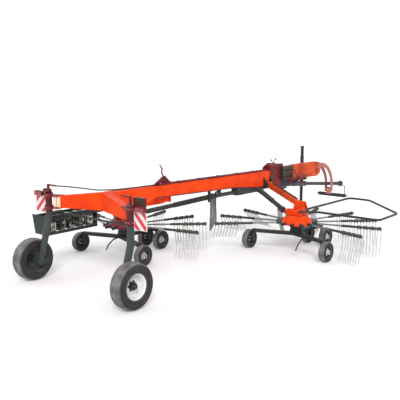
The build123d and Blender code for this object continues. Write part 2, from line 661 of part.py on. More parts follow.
def carriage(spec):
    """Column under the head, two swept arms, a spine with the leading axle, a stay and stub for each wheel."""
    x, y = spec["x"], spec["y"]
    shape = rod((x, y, CAR_Z[0]), (x, y, HEAD_LOW), COLUMN_R) + flat_turned(HOUSING, 12, (x, y, 0), "z")
    tip_x, tip_y = CAR_ARM_TIP
    for sign in (-1, 1):
        plan = [
            (x, y + CAR_ARM_ROOT - 45), (x, y + CAR_ARM_ROOT + 60),
            (x + sign * tip_x, y + tip_y + CAR_HALF), (x + sign * tip_x, y + tip_y - CAR_HALF),
        ]
        shape = shape + deck(plan, CAR_Z)
    lead_y = CARRIAGE_WHEELS[2][1]
    shape = shape + block((x - CAR_HALF, x + CAR_HALF), (y + CAR_ARM_ROOT, y + lead_y + 20), CAR_Z)
    shape = shape + block((x - 120, x + 120), (y + lead_y - 30, y + lead_y + 30), CAR_Z)
    for wx, wy in CARRIAGE_WHEELS:
        sign = 1 if wx > 0 else -1
        inner = abs(wx) - SMALL_W / 2 - 22
        stay_x = sorted((x + sign * (inner - STAY_T), x + sign * inner))
        shape = shape + block(stay_x, (y + wy - 50, y + wy + 50), (SMALL_R - 45, CAR_Z[1]))
        if wy < 0:
            reach_x = sorted((x + sign * (tip_x - 10), x + sign * inner))
            shape = shape + block(reach_x, (y + wy - CAR_HALF, y + wy + CAR_HALF), CAR_Z)
        shape = shape + rod(
            (x + sign * (inner - STAY_T), y + wy, SMALL_R), (x + sign * (abs(wx) + 52), y + wy, SMALL_R),
            SMALL_STUB,
        )
    skid_x = x + spec["skid_x"]
    share = abs(spec["skid_x"]) / tip_x
    skid_y = y + (1 - share) * CAR_ARM_ROOT + share * tip_y
    skid = [
        (skid_x, skid_y - 20, 400), (skid_x, skid_y - 200, 375), (skid_x, skid_y - 330, 290),
        (skid_x, skid_y - 400, 190),
    ]
    return one(shape + mitred(skid, [SKID_R] * len(skid), 6))


def small_wheel(sign, centre):
    """Tyre and rim of a carriage wheel in one, with a dish on its outside and a bore for its stub."""
    wheel = flat_turned(tyre_body(SMALL_R, SMALL_W, SMALL_RIM_R), SMALL_SIDES, centre)
    dish = [(sign * 0.37 * SMALL_W, 0.92 * SMALL_RIM_R), (sign * 0.14 * SMALL_W, 0.5 * SMALL_RIM_R)]
    wheel = wheel - flat_turned(dish, SMALL_SIDES, centre)
    x, y, z = centre
    return one(wheel - rod((x - SMALL_W, y, z), (x + SMALL_W, y, z), SMALL_STUB + RUN_GAP))


def boom(spec):
    """Tapered box from the round hinge tube on the frame to the narrow tongue in the head's fork."""
    x, side, pivot_y = spec["x"], spec["side"], spec["pivot_y"]
    hinge_y = spec["boom_y"]
    pivot = (side * BOOM_PIVOT[0], BOOM_PIVOT[1])
    start = Vector(pivot[0], 0, pivot[1])
    end = Vector(x, 0, HEAD_PIVOT_Z)
    along = (end - start).normalized()
    up = Vector(-along.Z, 0, along.X) * side

    def ring(centre, low_y, high_y, half):
        low = centre - up * half
        high = centre + up * half
        return Wire.make_polygon(
            [(low.X, low_y, low.Z), (low.X, high_y, low.Z), (high.X, high_y, high.Z), (high.X, low_y, high.Z)],
            close=True,
        )

    middle = sum(hinge_y) / 2
    root_y = (middle - BOOM_ROOT_W / 2, middle + BOOM_ROOT_W / 2)
    tip_y = (pivot_y - BOOM_TIP_W / 2, pivot_y + BOOM_TIP_W / 2)
    neck_at = end - along * 190
    sections = [
        ring(start + along * 20, *root_y, BOOM_DEEP / 2), ring(neck_at, *tip_y, BOOM_TIP_DEEP / 2),
        ring(end, *tip_y, BOOM_TIP_DEEP / 2),
    ]
    shape = Solid.make_loft(sections, ruled=True)
    shape = shape + bar((pivot[0], hinge_y[0], pivot[1]), (pivot[0], hinge_y[1], pivot[1]), PIVOT_EYE, 12)
    shape = shape + bar((x, tip_y[0], HEAD_PIVOT_Z), (x, tip_y[1], HEAD_PIVOT_Z), BOOM_TIP_DEEP / 2, 12)
    shape = shape - rod(
        (pivot[0], hinge_y[0] - 1, pivot[1]), (pivot[0], hinge_y[1] + 1, pivot[1]), PIVOT_R + BEARING_GAP,
    )
    shape = shape - rod((x, tip_y[0] - 1, HEAD_PIVOT_Z), (x, tip_y[1] + 1, HEAD_PIVOT_Z), PIVOT_R + BEARING_GAP)
    return one(shape)


def boom_hinge(spec):
    """Pin through the boom's tube, in two lugs on the side of the beam."""
    side = spec["side"]
    y0, y1 = spec["boom_y"]
    x, z = side * BOOM_PIVOT[0], BOOM_PIVOT[1]
    over = CLEAR + HINGE_LUG + 12
    shape = rod((x, y0 - over, z), (x, y1 + over, z), PIVOT_R)
    for lug_y in (y0 - CLEAR - HINGE_LUG, y1 + CLEAR):
        inner, outer = side * BEAM_HALF, side * (BOOM_PIVOT[0] + 42)
        lug = [
            (inner, lug_y, z - 50), (outer, lug_y, z - 40), (outer, lug_y, z + 40),
            (inner, lug_y, z + LUG_RISE),
        ]
        shape = shape + prism(lug, (0, HINGE_LUG, 0))
    for plate in plates:
        shape = shape - plate
    return one(shape - main_beam)


def drive_shaft(name):
    """Guarded shaft between its two joint centres, with a cross pin along y at the frame end."""
    start, end = Vector(*SHAFTS[name][0]), Vector(*SHAFTS[name][1])
    run = (end - start).normalized()
    shape = bar(start, end, SIDE_YOKE_R, 8) + bar(start + run * 60, end - run * 60, SIDE_SHAFT_R, 12)
    low, high = CROSS_PIN[name]
    return one(shape + rod(start + Vector(0, low, 0), start + Vector(0, high, 0), CROSS_PIN_R))


for name, spec in ROTORS.items():
    x, y = spec["x"], spec["y"]
    nodes[name + "_hub"] = rotor_hub(x, y, spec["first"])
    arms = []
    for i in range(spec["arms"]):
        turn = spec["first"] + i * 360 / ARM_COUNT
        arm = tine_arm(SOCKET_END, spec["reach"], raised=turn > 150)
        arms.append(arm.rotate(Axis.Z, turn).moved(Location((x, y, ARM_Z))))
    nodes[name + "_arms"] = Compound(children=arms)
    nodes[name + "_head"] = rotor_head(name, spec)
    nodes[name + "_carriage"] = carriage(spec)
    for i, (wx, wy) in enumerate(CARRIAGE_WHEELS):
        nodes[f"{name}_wheel_{i + 1}"] = small_wheel(1 if wx > 0 else -1, (x + wx, y + wy, SMALL_R))
    nodes[name + "_boom"] = boom(spec)
    nodes[name + "_boom_hinge"] = boom_hinge(spec)
    nodes[name + "_drive_shaft"] = drive_shaft(name)

# Guard hoop on the front head
gx, gy = ROTORS["front"]["x"], ROTORS["front"]["y"]
hoop = [(gx + x, gy + y, GUARD_Z) for x, y in GUARD]
nodes["front_guard"] = one(mitred(hoop, [GUARD_R] * len(hoop), 8) - nodes["front_head"])

# Rack with stowed arms on the rear head
ry = ROTORS["rear"]["y"]
rack = None
plate_outline = [
    (RACK_X[0], RACK_Z[0]), (RACK_X[1], RACK_Z[0]), (RACK_X[1], RACK_Z[1]),
    (RACK_X[0] - RACK_FLARE, RACK_Z[1]),
]
for y0 in (RACK_Y[0], RACK_Y[1] - RACK_PLATE):
    plate = prism([(x, y0, z) for x, z in plate_outline], (0, RACK_PLATE, 0))
    rack = plate if rack is None else rack + plate
for x0 in (RACK_X[0], RACK_X[1] - RACK_RAIL):
    rack = rack + block((x0, x0 + RACK_RAIL), RACK_Y, (RACK_Z[0], RACK_Z[0] + RACK_RAIL))
rail_x = (RACK_X[1] - RACK_RAIL, RACK_X[1])
rack = rack + block(rail_x, (RACK_Y[0], ry - HEAD_HALF), (RACK_Z[1] - 90, RACK_Z[1]))
rack = rack + block(rail_x, (ry - HEAD_HALF - 60, ry - HEAD_HALF), (BOX_TOP - 70, RACK_Z[1]))
nodes["tine_rack"] = one(rack - nodes["rear_head"])

stowed = []
pitch = (RACK_X[1] - RACK_X[0] - 2 * RACK_RAIL) / STOWED_COLUMNS
stow_y = (RACK_Y[0] + RACK_PLATE, RACK_Y[1] - RACK_PLATE)
for i in range(STOWED):
    column = i % STOWED_COLUMNS
    row = i // STOWED_COLUMNS
    sx = RACK_X[0] + RACK_RAIL + pitch * (column + 0.5)
    sz = RACK_Z[0] + RACK_RAIL + ARM_OUTER_R + 10 + row * STOWED_ROW
    stowed.append(bar((sx, stow_y[0], sz), (sx, stow_y[1], sz), ARM_OUTER_R, ARM_SIDES))
nodes["stowed_arms"] = Compound(children=stowed)

# Swath curtain and its carrier
near, far = Vector(*CURTAIN_ENDS[0], 0), Vector(*CURTAIN_ENDS[1], 0)
sheet_run = (far - near).normalized()
sheet_side = Vector(-sheet_run.Y, sheet_run.X, 0)


def strip(start, end, half):
    corners = [
        start - sheet_side * half, end - sheet_side * half, end + sheet_side * half,
        start + sheet_side * half,
    ]
    return [(corner.X, corner.Y) for corner in corners]


nodes["swath_curtain"] = deck(strip(near, far, CURTAIN_T / 2), CURTAIN_Z)
rail_z = (CURTAIN_Z[1], CURTAIN_Z[1] + CARRIER)
rail = deck(strip(near - sheet_run * 120, far, CARRIER / 2), rail_z)
post_at = near - sheet_run * 95
rail = rail + block((post_at.X - 20, post_at.X + 20), (post_at.Y - 25, post_at.Y + 25), (rail_z[0], 1400))
stay_foot = near + (far - near) * CARRIER_STAY
stay = mitred(
    [(stay_foot.X, stay_foot.Y, rail_z[0] + CARRIER / 2), (-BEAM_HALF + 30, stay_foot.Y, 1440)], [16, 16],
    4,
)
nodes["curtain_carrier"] = one(one(rail - main_beam) + one(stay - main_beam))

# Origin below the middle of the whole machine
everything = Compound(children=[shape.moved(Location((0, 0, 0))) for shape in nodes.values()])
box = everything.bounding_box()
SHIFT = Vector(-(box.min.X + box.max.X) / 2, -(box.min.Y + box.max.Y) / 2, -box.min.Z)

os.makedirs("parts", exist_ok=True)
for name, shape in nodes.items():
    export_step(shape.moved(Location(SHIFT)), f"parts/{name}.step")
print("box", box.size, "shift", SHIFT, "nodes", len(nodes))
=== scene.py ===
import math

import bmesh
import bpy
import numpy as np
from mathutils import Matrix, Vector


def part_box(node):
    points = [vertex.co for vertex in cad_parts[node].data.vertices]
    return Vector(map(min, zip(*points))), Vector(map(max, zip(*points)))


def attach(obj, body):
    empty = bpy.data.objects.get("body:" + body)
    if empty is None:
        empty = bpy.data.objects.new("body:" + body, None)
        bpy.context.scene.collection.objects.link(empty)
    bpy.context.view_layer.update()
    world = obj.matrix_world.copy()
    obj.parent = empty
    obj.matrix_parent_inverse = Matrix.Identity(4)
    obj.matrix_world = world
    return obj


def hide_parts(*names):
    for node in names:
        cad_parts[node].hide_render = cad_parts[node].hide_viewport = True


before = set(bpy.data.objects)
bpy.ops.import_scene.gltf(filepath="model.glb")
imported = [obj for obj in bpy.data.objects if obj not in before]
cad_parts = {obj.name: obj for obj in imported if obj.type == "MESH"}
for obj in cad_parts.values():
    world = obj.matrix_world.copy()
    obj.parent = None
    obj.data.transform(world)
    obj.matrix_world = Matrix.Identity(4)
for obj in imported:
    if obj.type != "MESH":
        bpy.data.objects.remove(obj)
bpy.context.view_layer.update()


# Studio: a floor and a surround that show white, a broad sun lamp behind and above the camera and
# a weaker one from the far side. The camera stands behind the machine and to its right, 3.4 m
# above the ground.
HUB_LEFT = np.mean(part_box("tyre_left"), axis=0)
HUB_RIGHT = np.mean(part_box("tyre_right"), axis=0)
ORIGIN = np.array([(HUB_LEFT[0] + HUB_RIGHT[0]) / 2, HUB_LEFT[1], 0.0])  # below the rear axle
CAMERA_AT = (8.3975, -6.7506, 3.372)  # from the origin below the rear axle
CAMERA_TURN = 0.7034  # to the left of straight ahead, radians
CAMERA_DIP = 0.1663
LENS_MM = 58.5
FLOOR_HALF = 90.0
FLOOR_WHITE = (0.96, 0.96, 0.96, 1.0)
SHOWN_WHITE = 0.12  # share of the floor that shows plain white
SKY_STRENGTH = 0.78
KEY_LIGHT = ((8.0, -5.0, 9.0), 0.35, 2.0)  # place, spread in radians, strength
FILL_LIGHT = ((-7.0, 0.0, 8.0), 0.8, 0.15)
LIGHT_TARGET = (0.0, 3.5, 0.6)


class Value:
    """A shader socket that takes part in arithmetic: each operator adds one Math node."""

    def __init__(self, finish, socket):
        self.finish = finish
        self.socket = socket

    def math(self, operation, *terms):
        return self.finish.node("ShaderNodeMath", {"operation": operation}, *terms)

    def __add__(self, other):
        return self.math("ADD", self, other)

    def __sub__(self, other):
        return self.math("SUBTRACT", self, other)

    def __rsub__(self, other):
        return self.math("SUBTRACT", other, self)

    def __mul__(self, other):
        return self.math("MULTIPLY", self, other)

    __radd__ = __add__
    __rmul__ = __mul__

    def fraction(self):
        return self.math("FRACT", self)

    def size(self):
        return self.math("ABSOLUTE", self)

    def rise(self, low, high):
        """0 below low, 1 above high, with a smooth rise between them."""
        settings = {"interpolation_type": "SMOOTHSTEP"}
        return self.finish.node("ShaderNodeMapRange", settings, self, low, high, 0.0, 1.0)


class Finish:
    """One material: a Principled surface and the nodes that vary it."""

    def __init__(self, name, **constants):
        self.material = bpy.data.materials.new(name)
        self.material.use_nodes = True
        self.tree = self.material.node_tree
        self.surface = self.tree.nodes["Principled BSDF"]
        for socket, value in constants.items():
            self.surface.inputs[socket.replace("_", " ")].default_value = value

    def node(self, kind, settings, *inputs, output=0, **named):
        """Adds a node, sets its settings first, then its inputs in order or by name. None leaves an
        input alone."""
        node = self.tree.nodes.new(kind)
        for key, value in settings.items():
            setattr(node, key, value)
        places = list(enumerate(inputs))
        places += [(key.replace("_", " "), value) for key, value in named.items()]
        for place, value in places:
            if isinstance(value, Value):
                self.tree.links.new(value.socket, node.inputs[place])
            elif value is not None:
                node.inputs[place].default_value = value
        return Value(self, node.outputs[output])

    def places(self):
        return self.node("ShaderNodeTexCoord", {}, output="Object")

    def noise(self, scale, detail=3.0, stretch=None):
        """Fractal noise between 0 and 1 over Object coordinates, stretched per axis if asked."""
        where = self.places()
        if stretch:
            where = self.node("ShaderNodeMapping", {}, Vector=where, Scale=stretch)
        return self.node("ShaderNodeTexNoise", {}, Vector=where, Scale=scale, Detail=detail)

    def axis(self, letter, where=None):
        return self.node("ShaderNodeSeparateXYZ", {}, where or self.places(), output=letter)

    def facing(self, letter):
        """The normal's part along an axis, from -1 to 1."""
        return self.axis(letter, self.node("ShaderNodeNewGeometry", {}, output="Normal"))

    def mix(self, factor, first, second):
        """Colour between two colours, each a triple or a wired socket."""
        full = [value if isinstance(value, Value) else (*value, 1.0) for value in (first, second)]
        other_kinds = [None] * 5
        return self.node("ShaderNodeMix", {"data_type": "RGBA"}, factor, *other_kinds, *full, output=2)

    def wire(self, socket, value):
        self.tree.links.new(value.socket, self.surface.inputs[socket])

    def colour(self, factor, first, second):
        """Base colour between two colours."""
        self.wire("Base Color", self.mix(factor, first, second))

    def bump(self, height, distance):
        """Relief of a height between 0 and 1, a distance in metres deep."""
        self.wire("Normal", self.node("ShaderNodeBump", {}, Distance=distance, Height=height))


def seen_directly(tree):
    """1 for a ray from the camera, off a mirror or through glass, 0 for one that lights the object."""
    rays = tree.nodes.new("ShaderNodeLightPath")
    total = rays.outputs["Is Camera Ray"]
    for kind in ("Is Glossy Ray", "Is Transmission Ray"):
        either = tree.nodes.new("ShaderNodeMath")
        either.operation = "MAXIMUM"
        tree.links.new(total, either.inputs[0])
        tree.links.new(rays.outputs[kind], either.inputs[1])
        total = either.outputs[0]
    return total


def show(tree, share, lighting, seen, output):
    """A tree's output: the lighting shader, with a share of the seen one for the camera's rays."""
    blend = tree.nodes.new("ShaderNodeMixShader")
    for place, socket in enumerate((share, lighting, seen)):
        tree.links.new(socket, blend.inputs[place])
    tree.links.new(blend.outputs[0], tree.nodes[output].inputs[0])


def added(name, data):
    """A new object in the scene from its mesh, lamp or camera."""
    obj = bpy.data.objects.new(name, data)
    bpy.context.collection.objects.link(obj)
    return obj


floor_mesh = bpy.data.meshes.new("floor")
corners = [(x * FLOOR_HALF, y * FLOOR_HALF, 0.0) for x, y in ((-1, -1), (1, -1), (1, 1), (-1, 1))]
floor_mesh.from_pydata(corners, [], [(0, 1, 2, 3)])
floor = added("floor", floor_mesh)
pale = Finish("floor_white", Roughness=1.0, Base_Color=FLOOR_WHITE)
glow = pale.tree.nodes.new("ShaderNodeEmission")
share = pale.tree.nodes.new("ShaderNodeMath")
share.operation = "MULTIPLY"
share.inputs[1].default_value = SHOWN_WHITE
pale.tree.links.new(seen_directly(pale.tree), share.inputs[0])
show(pale.tree, share.outputs[0], pale.surface.outputs[0], glow.outputs[0], "Material Output")
floor_mesh.materials.append(pale.material)

world = bpy.data.worlds.new("studio")
bpy.context.scene.world = world
world.use_nodes = True
sky = world.node_tree
lit = sky.nodes["Background"]
lit.inputs["Strength"].default_value = SKY_STRENGTH
shown = sky.nodes.new("ShaderNodeBackground")
for white in (lit, shown):
    white.inputs["Color"].default_value = (1.0, 1.0, 1.0, 1.0)
show(sky, seen_directly(sky), lit.outputs[0], shown.outputs[0], "World Output")


def soft_light(name, place, spread, strength):
    """Sun lamp that shines from a place toward LIGHT_TARGET, both measured from ORIGIN. Its spread in
    radians softens the shadows."""
    lamp = bpy.data.lights.new(name, "SUN")
    lamp.angle = spread
    lamp.energy = strength
    obj = added(name, lamp)
    obj.location = ORIGIN + np.array(place)
    toward = obj.location.copy()
    toward.xyz = ORIGIN + np.array(LIGHT_TARGET)
    obj.rotation_euler = (toward - obj.location).to_track_quat("-Z", "Y").to_euler()


soft_light("key", *KEY_LIGHT)
soft_light("fill", *FILL_LIGHT)

camera = added("camera", bpy.data.cameras.new("camera"))
camera.location = ORIGIN + np.array(CAMERA_AT)
camera.rotation_euler = (math.pi / 2 - CAMERA_DIP, 0.0, CAMERA_TURN)
camera.data.lens = LENS_MM
camera.data.clip_end = 300.0
bpy.context.scene.camera = camera
bpy.context.scene.view_settings.view_transform = "Standard"


# Orange frame: the box beam, the cross beam with its swept arms, the drawbar head, the booms
# and the front gearbox head are sprayed orange, with a film of dust on what faces up. The
# drawbar head and the front boom are more worn. Each paint has two tones.
ORANGE = ((0.84, 0.058, 0.001), (0.66, 0.034, 0.001))
WORN_ORANGE = ((0.66, 0.075, 0.01), (0.36, 0.035, 0.008))
DUST = (0.46, 0.2, 0.11)


def paint(name, colour, deep, roughness=0.42, dust=0.08, coat=0.08, shine=0.25):
    """Sprayed paint: patches between two tones, dust where the surface faces up, fine orange peel."""
    finish = Finish(name, Coat_Roughness=0.15)
    patches = finish.noise(2.6, 5.0)
    settled = finish.facing("Z").rise(0.55, 0.98) * finish.noise(9.0, 6.0).rise(0.35, 0.75) * dust
    finish.tones = finish.mix(patches.rise(0.35, 0.75), colour, deep)
    finish.colour(settled, finish.tones, DUST)
    finish.wire("Roughness", patches * 0.18 + settled + (roughness - 0.08))
    finish.surface.inputs["Coat Weight"].default_value = coat
    finish.surface.inputs["Specular IOR Level"].default_value = shine
    finish.bump(finish.noise(260.0, 2.0), 0.0002)
    return finish


def finish_nodes(finish, *names):
    """Gives a CAD node's every material slot the finish."""
    for name in names:
        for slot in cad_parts[name].material_slots:
            slot.material = finish.material


orange = paint("orange_paint", *ORANGE, coat=0.02, shine=0.13)
finish_nodes(orange, "main_beam", "rear_cross_beam", "rear_boom", "rear_boom_hinge", "front_head")
worn_orange = paint("worn_orange_paint", *WORN_ORANGE, roughness=0.5, dust=0.3, coat=0.0, shine=0.15)
finish_nodes(worn_orange, "drawbar", "front_boom")


def grid(points, rings=True, loop=False):
    """Quads between the neighbours of an array (rows, columns, 3). Rows are rings if asked, with
    a face over the first and the last, unless the last row joins the first in a loop."""
    rows, columns = points.shape[:2]
    number = np.arange(rows * columns).reshape(rows, columns)
    caps = []
    if rings and not loop:
        caps = [number[0].tolist(), number[-1].tolist()]
    if rings:
        number = np.concatenate((number, number[:, :1]), axis=1)
    if loop:
        number = np.concatenate((number, number[:1]), axis=0)
    quads = np.stack((number[:-1, :-1], number[:-1, 1:], number[1:, 1:], number[1:, :-1]), axis=-1)
    return points.reshape(-1, 3), quads.reshape(-1, 4).tolist() + caps


def unit(vectors):
    vectors = np.asarray(vectors, float)
    return vectors / np.linalg.norm(vectors, axis=-1, keepdims=True)


def turned(profile, centre, axis=(1.0, 0.0, 0.0), sides=48, loop=False):
    """Pairs (distance along the axis, radius) turned round an axis through the centre: each pair is
    a ring, centre + along * axis + radius * (cos a * one side + sin a * other side)."""
    profile = np.asarray(profile, float)
    axis = unit(axis)
    side = unit(np.cross(axis, (0.0, 0.0, 1.0) if abs(axis[2]) < 0.9 else (1.0, 0.0, 0.0)))
    other = np.cross(axis, side)
    angle = 2 * np.pi * np.arange(sides) / sides
    ring = np.cos(angle)[:, None] * side + np.sin(angle)[:, None] * other
    points = np.asarray(centre) + profile[:, None, :1] * axis + profile[:, None, 1:] * ring[None]
    return grid(points, loop=loop)


def tube(path, radius, sides=12, across=None):
    """A circle carried along a path. Its two sides are cross(run, across) and cross of that with the
    run, and across is a direction that the path never takes."""
    path = np.asarray(path, float)
    run = unit(np.gradient(path, axis=0))
    if across is None:
        across = np.eye(3)[np.argmin(np.abs(run).max(axis=0))]
    side = unit(np.cross(run, across))
    other = np.cross(side, run)
    radius = np.broadcast_to(np.asarray(radius, float), len(path))[:, None, None]
    angle = 2 * np.pi * np.arange(sides) / sides
    ring = np.cos(angle)[None, :, None] * side[:, None] + np.sin(angle)[None, :, None] * other[:, None]
    return grid(path[:, None] + radius * ring)


def eased(corners, radius, steps=6):
    """A path through corners whose inner ones are replaced by curves a (1-t)^2 + 2 b t (1-t) + c t^2,
    where b is the corner and a and c lie a radius before and after it."""
    corners = np.asarray(corners, float)
    t = np.linspace(0.0, 1.0, steps)[:, None]
    parts = [corners[:1]]
    for before, corner, after in zip(corners[:-2], corners[1:-1], corners[2:]):
        shorter = min(np.linalg.norm(before - corner), np.linalg.norm(after - corner))
        reach = min(radius, 0.45 * shorter)
        a = corner + unit(before - corner) * reach
        c = corner + unit(after - corner) * reach
        parts.append(a * (1 - t) ** 2 + 2 * corner * t * (1 - t) + c * t ** 2)
    return np.concatenate(parts + [corners[-1:]])


def plate(outline, low, high, axis):
    """An outline in the plane across an axis (0, 1 or 2), carried from low to high along it."""
    outline = np.asarray(outline, float)
    ends = [np.insert(outline, axis, place, axis=1) for place in (low, high)]
    return grid(np.stack(ends))


def box(x, y, z):
    return plate([(x[0], y[0]), (x[1], y[0]), (x[1], y[1]), (x[0], y[1])], z[0], z[1], 2)


def piece(name, shells, finish, body="frame", replaces=(), crease=35.0, bevel=0.0):
    """One object from several closed shells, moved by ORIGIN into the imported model's frame, its faces
    turned outwards, smooth across edges flatter than the crease, its edges rounded by the bevel."""
    points = []
    faces = []
    count = 0
    for shell_points, shell_faces in shells:
        points.append(shell_points)
        faces += [[index + count for index in face] for face in shell_faces]
        count += len(shell_points)
    mesh = bpy.data.meshes.new(name)
    mesh.from_pydata((np.concatenate(points) + ORIGIN).tolist(), [], faces)
    shape = bmesh.new()
    shape.from_mesh(mesh)
    bmesh.ops.recalc_face_normals(shape, faces=shape.faces)
    shape.to_mesh(mesh)
    shape.free()
    mesh.shade_smooth()
    mesh.set_sharp_from_angle(angle=math.radians(crease))
    mesh.materials.append(finish.material)
    obj = added(name, mesh)
    if bevel:
        edge = obj.modifiers.new("edges", "BEVEL")
        edge.width = bevel
        edge.segments = 2
        edge.limit_method = "ANGLE"
    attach(obj, body)
    if replaces:
        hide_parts(*replaces)


# Welds and plates on the frame: beads along the box beam's edges and where the swept arms meet
# the middle of the cross beam, and one pale blank plate on the left arm's rear face.
BEAM_HALF = 0.1
BEAM_TOP = ((0.69, 1.645), (5.56, 1.575))  # (y, z) of the top edge's ends
BEAM_BELLY = (  # (y, z) along the lower edge
    (0.69, 1.35), (1.6, 1.368), (1.74, 1.418), (4.1, 1.34), (5.0, 1.25), (5.56, 1.24),
)
CROSS_REAR = ((0.0, 0.55), (0.93, 0.228))  # (x, y) of the rear face's ends, right side
CROSS_TOP = ((0.0, 1.655), (0.93, 1.535))  # (x, z) of the top edge's ends, right side
CROSS_BELLY_Z = 1.345
ARM_WELD_X = (0.02, 0.866)
WELD_R = 0.006
WELD_SUNK = 0.003
BLANK_X = (-0.928, -0.795)
BLANK_Z = (1.342, 1.528)
CREAM = ((0.78, 0.66, 0.52), (0.624, 0.528, 0.416))


def on_line(place, line):
    """Second value on a line through pairs, where the first value is the place."""
    return np.interp(place, *zip(*line))


def beam_top(y):
    return on_line(y, BEAM_TOP)


def rear_face(x):
    return on_line(abs(x), CROSS_REAR)


seams = []
for side in (-1, 1):
    for line, sunk in ((BEAM_TOP, -WELD_SUNK), (BEAM_BELLY, WELD_SUNK)):
        seams.append(tube([(side * BEAM_HALF * 0.985, y, z + sunk) for y, z in line], WELD_R, 8))
for side in (-1, 1):
    for weld_x in ARM_WELD_X:
        foot = (side * weld_x, rear_face(weld_x), CROSS_BELLY_Z)
        head = (*foot[:2], on_line(weld_x, CROSS_TOP) - 0.005)
        seams.append(tube([foot, head], WELD_R, 8))
piece("frame_welds", seams, orange)

pale_plate = Finish("pale_plate", Roughness=0.5)
pale_plate.colour(pale_plate.noise(40.0), *CREAM)
blank = [(x, rear_face(x) - 0.0015) for x in BLANK_X]
blank += [(x, y + 0.004) for x, y in blank[::-1]]
piece("blank_plate", [plate(blank, *BLANK_Z, 2)], pale_plate, bevel=0.001)


# Hydraulic pipes: four steel pipes in clips on top of the beam, from the tower to the bracket, and a
# fifth along the beam's lower edge, painted dark red with the brackets. The fifth is a dark red line of
# painted shade where the beam's underside is in shade.
MAROON = ((0.17, 0.012, 0.016), (0.085, 0.008, 0.011))
BLACK = ((0.012, 0.012, 0.013), (0.03, 0.03, 0.031))
PIPE_X = (-0.055, -0.02, 0.02, 0.055)
PIPE_Y = (2.36, 3.4, 4.5, 5.52)
PIPE_R = 0.01
PIPE_LIFT = 0.016  # of a pipe's middle over the beam
CLIP_Y = (2.55, 5.5, 0.62)  # first, end and pitch
LOW_PIPE_X = 0.092
LOW_PIPE_Y = (1.76, 2.6, 3.4, 4.1, 4.6, 5.0, 5.4)
LOW_PIPE_R = 0.013
maroon = paint("red_brown_paint", *MAROON, roughness=0.45)
# The rear head's dark red is painted shade on an orange casting; the bracket's is its own paint.
finish_nodes(maroon, "drawbar_bracket", "rear_head")
pipes = [tube([(x, y, beam_top(y) + PIPE_LIFT) for y in PIPE_Y], PIPE_R, 8) for x in PIPE_X]
piece("beam_pipes", pipes, maroon)
plastic = Finish("black_plastic", Roughness=0.5)
plastic.colour(plastic.noise(30.0, 5.0), *BLACK)
plastic.bump(plastic.noise(400.0), 0.0002)
clips = []
for y in np.arange(*CLIP_Y):
    z = beam_top(y)
    clips.append(box((-0.078, 0.078), (y - 0.02, y + 0.02), (z - 0.002, z + 0.032)))
piece("pipe_clips", clips, plastic, bevel=0.004)
# Painted shade: this dark red pipe marks the shade along the beam's lower edge.
underside_shade_path = [(LOW_PIPE_X, y, on_line(y, BEAM_BELLY) + 0.004) for y in LOW_PIPE_Y]
piece("underside_shade_pipe", [tube(underside_shade_path, LOW_PIPE_R, 8)], maroon)


# Steered legs, their bearings, levers and tie rod: thick tubes bent at the foot, green-black
# with a dark red top, in dark red bearings with bolts round their rings. The tie rod, the jack,
# the carriages and other lesser steel are charcoal.
CHARCOAL = ((0.026, 0.03, 0.033), (0.013, 0.015, 0.018))
LEG_GREEN = ((0.044, 0.058, 0.055), (0.026, 0.036, 0.034))
LEG_TOP_RED = (0.07, 0.012, 0.014)
LEG_TOP_FROM = (1.2, 1.3)  # heights between which the colour changes
ZINC = ((0.16, 0.16, 0.155), (0.34, 0.34, 0.32))
LEG_X = 1.05
LEG_Y = 0.22
BEARINGS = ((1.29, 1.36), (1.51, 1.58))  # z of each one's foot and top
BEARING_R = 0.0795
BEARING_BOLTS = (200, 250, 290, 340)  # degrees round the leg
leg_paint = paint("leg_paint", *LEG_GREEN)
upper = leg_paint.axis("Z").rise(*LEG_TOP_FROM)
lower_tones = leg_paint.mix(leg_paint.noise(3.0, 5.0).rise(0.3, 0.7), *LEG_GREEN)
leg_paint.colour(upper, lower_tones, LEG_TOP_RED)
finish_nodes(leg_paint, "leg_left", "leg_right")
finish_nodes(maroon, "leg_bearings", "board_arms")
charcoal = paint("dark_paint", *CHARCOAL)
finish_nodes(charcoal, "tie_rod", "jack_leg", "jack_sleeve", "front_boom_hinge", "front_carriage")
finish_nodes(charcoal, "rear_carriage", "hitch_yoke", "curtain_carrier", "conduit")


def bolt(place, axis, across=0.024, height=0.014):
    """Six-sided head on a round washer, both turned about the bolt's axis."""
    washer = turned([(0.0, across * 0.72), (0.003, across * 0.72)], place, axis, 16)
    profile = [(0.002, across * 0.5), (height - 0.002, across * 0.5), (height, across * 0.42)]
    return [washer, turned(profile, place, axis, 6)]


zinc = Finish("zinc_bolts", Metallic=0.8, Roughness=0.42)
zinc.colour(zinc.noise(90.0), *ZINC)
leg_bolts = []
for side in (-1, 1):
    for low, high in BEARINGS:
        for angle in BEARING_BOLTS:
            turn = math.radians(angle)
            out = np.array((math.cos(turn), math.sin(turn), 0.0))
            centre = (side * LEG_X, LEG_Y, (low + high) / 2)
            leg_bolts += bolt(out * BEARING_R + centre, out, 0.018, 0.012)
piece("bearing_bolts", leg_bolts, zinc)
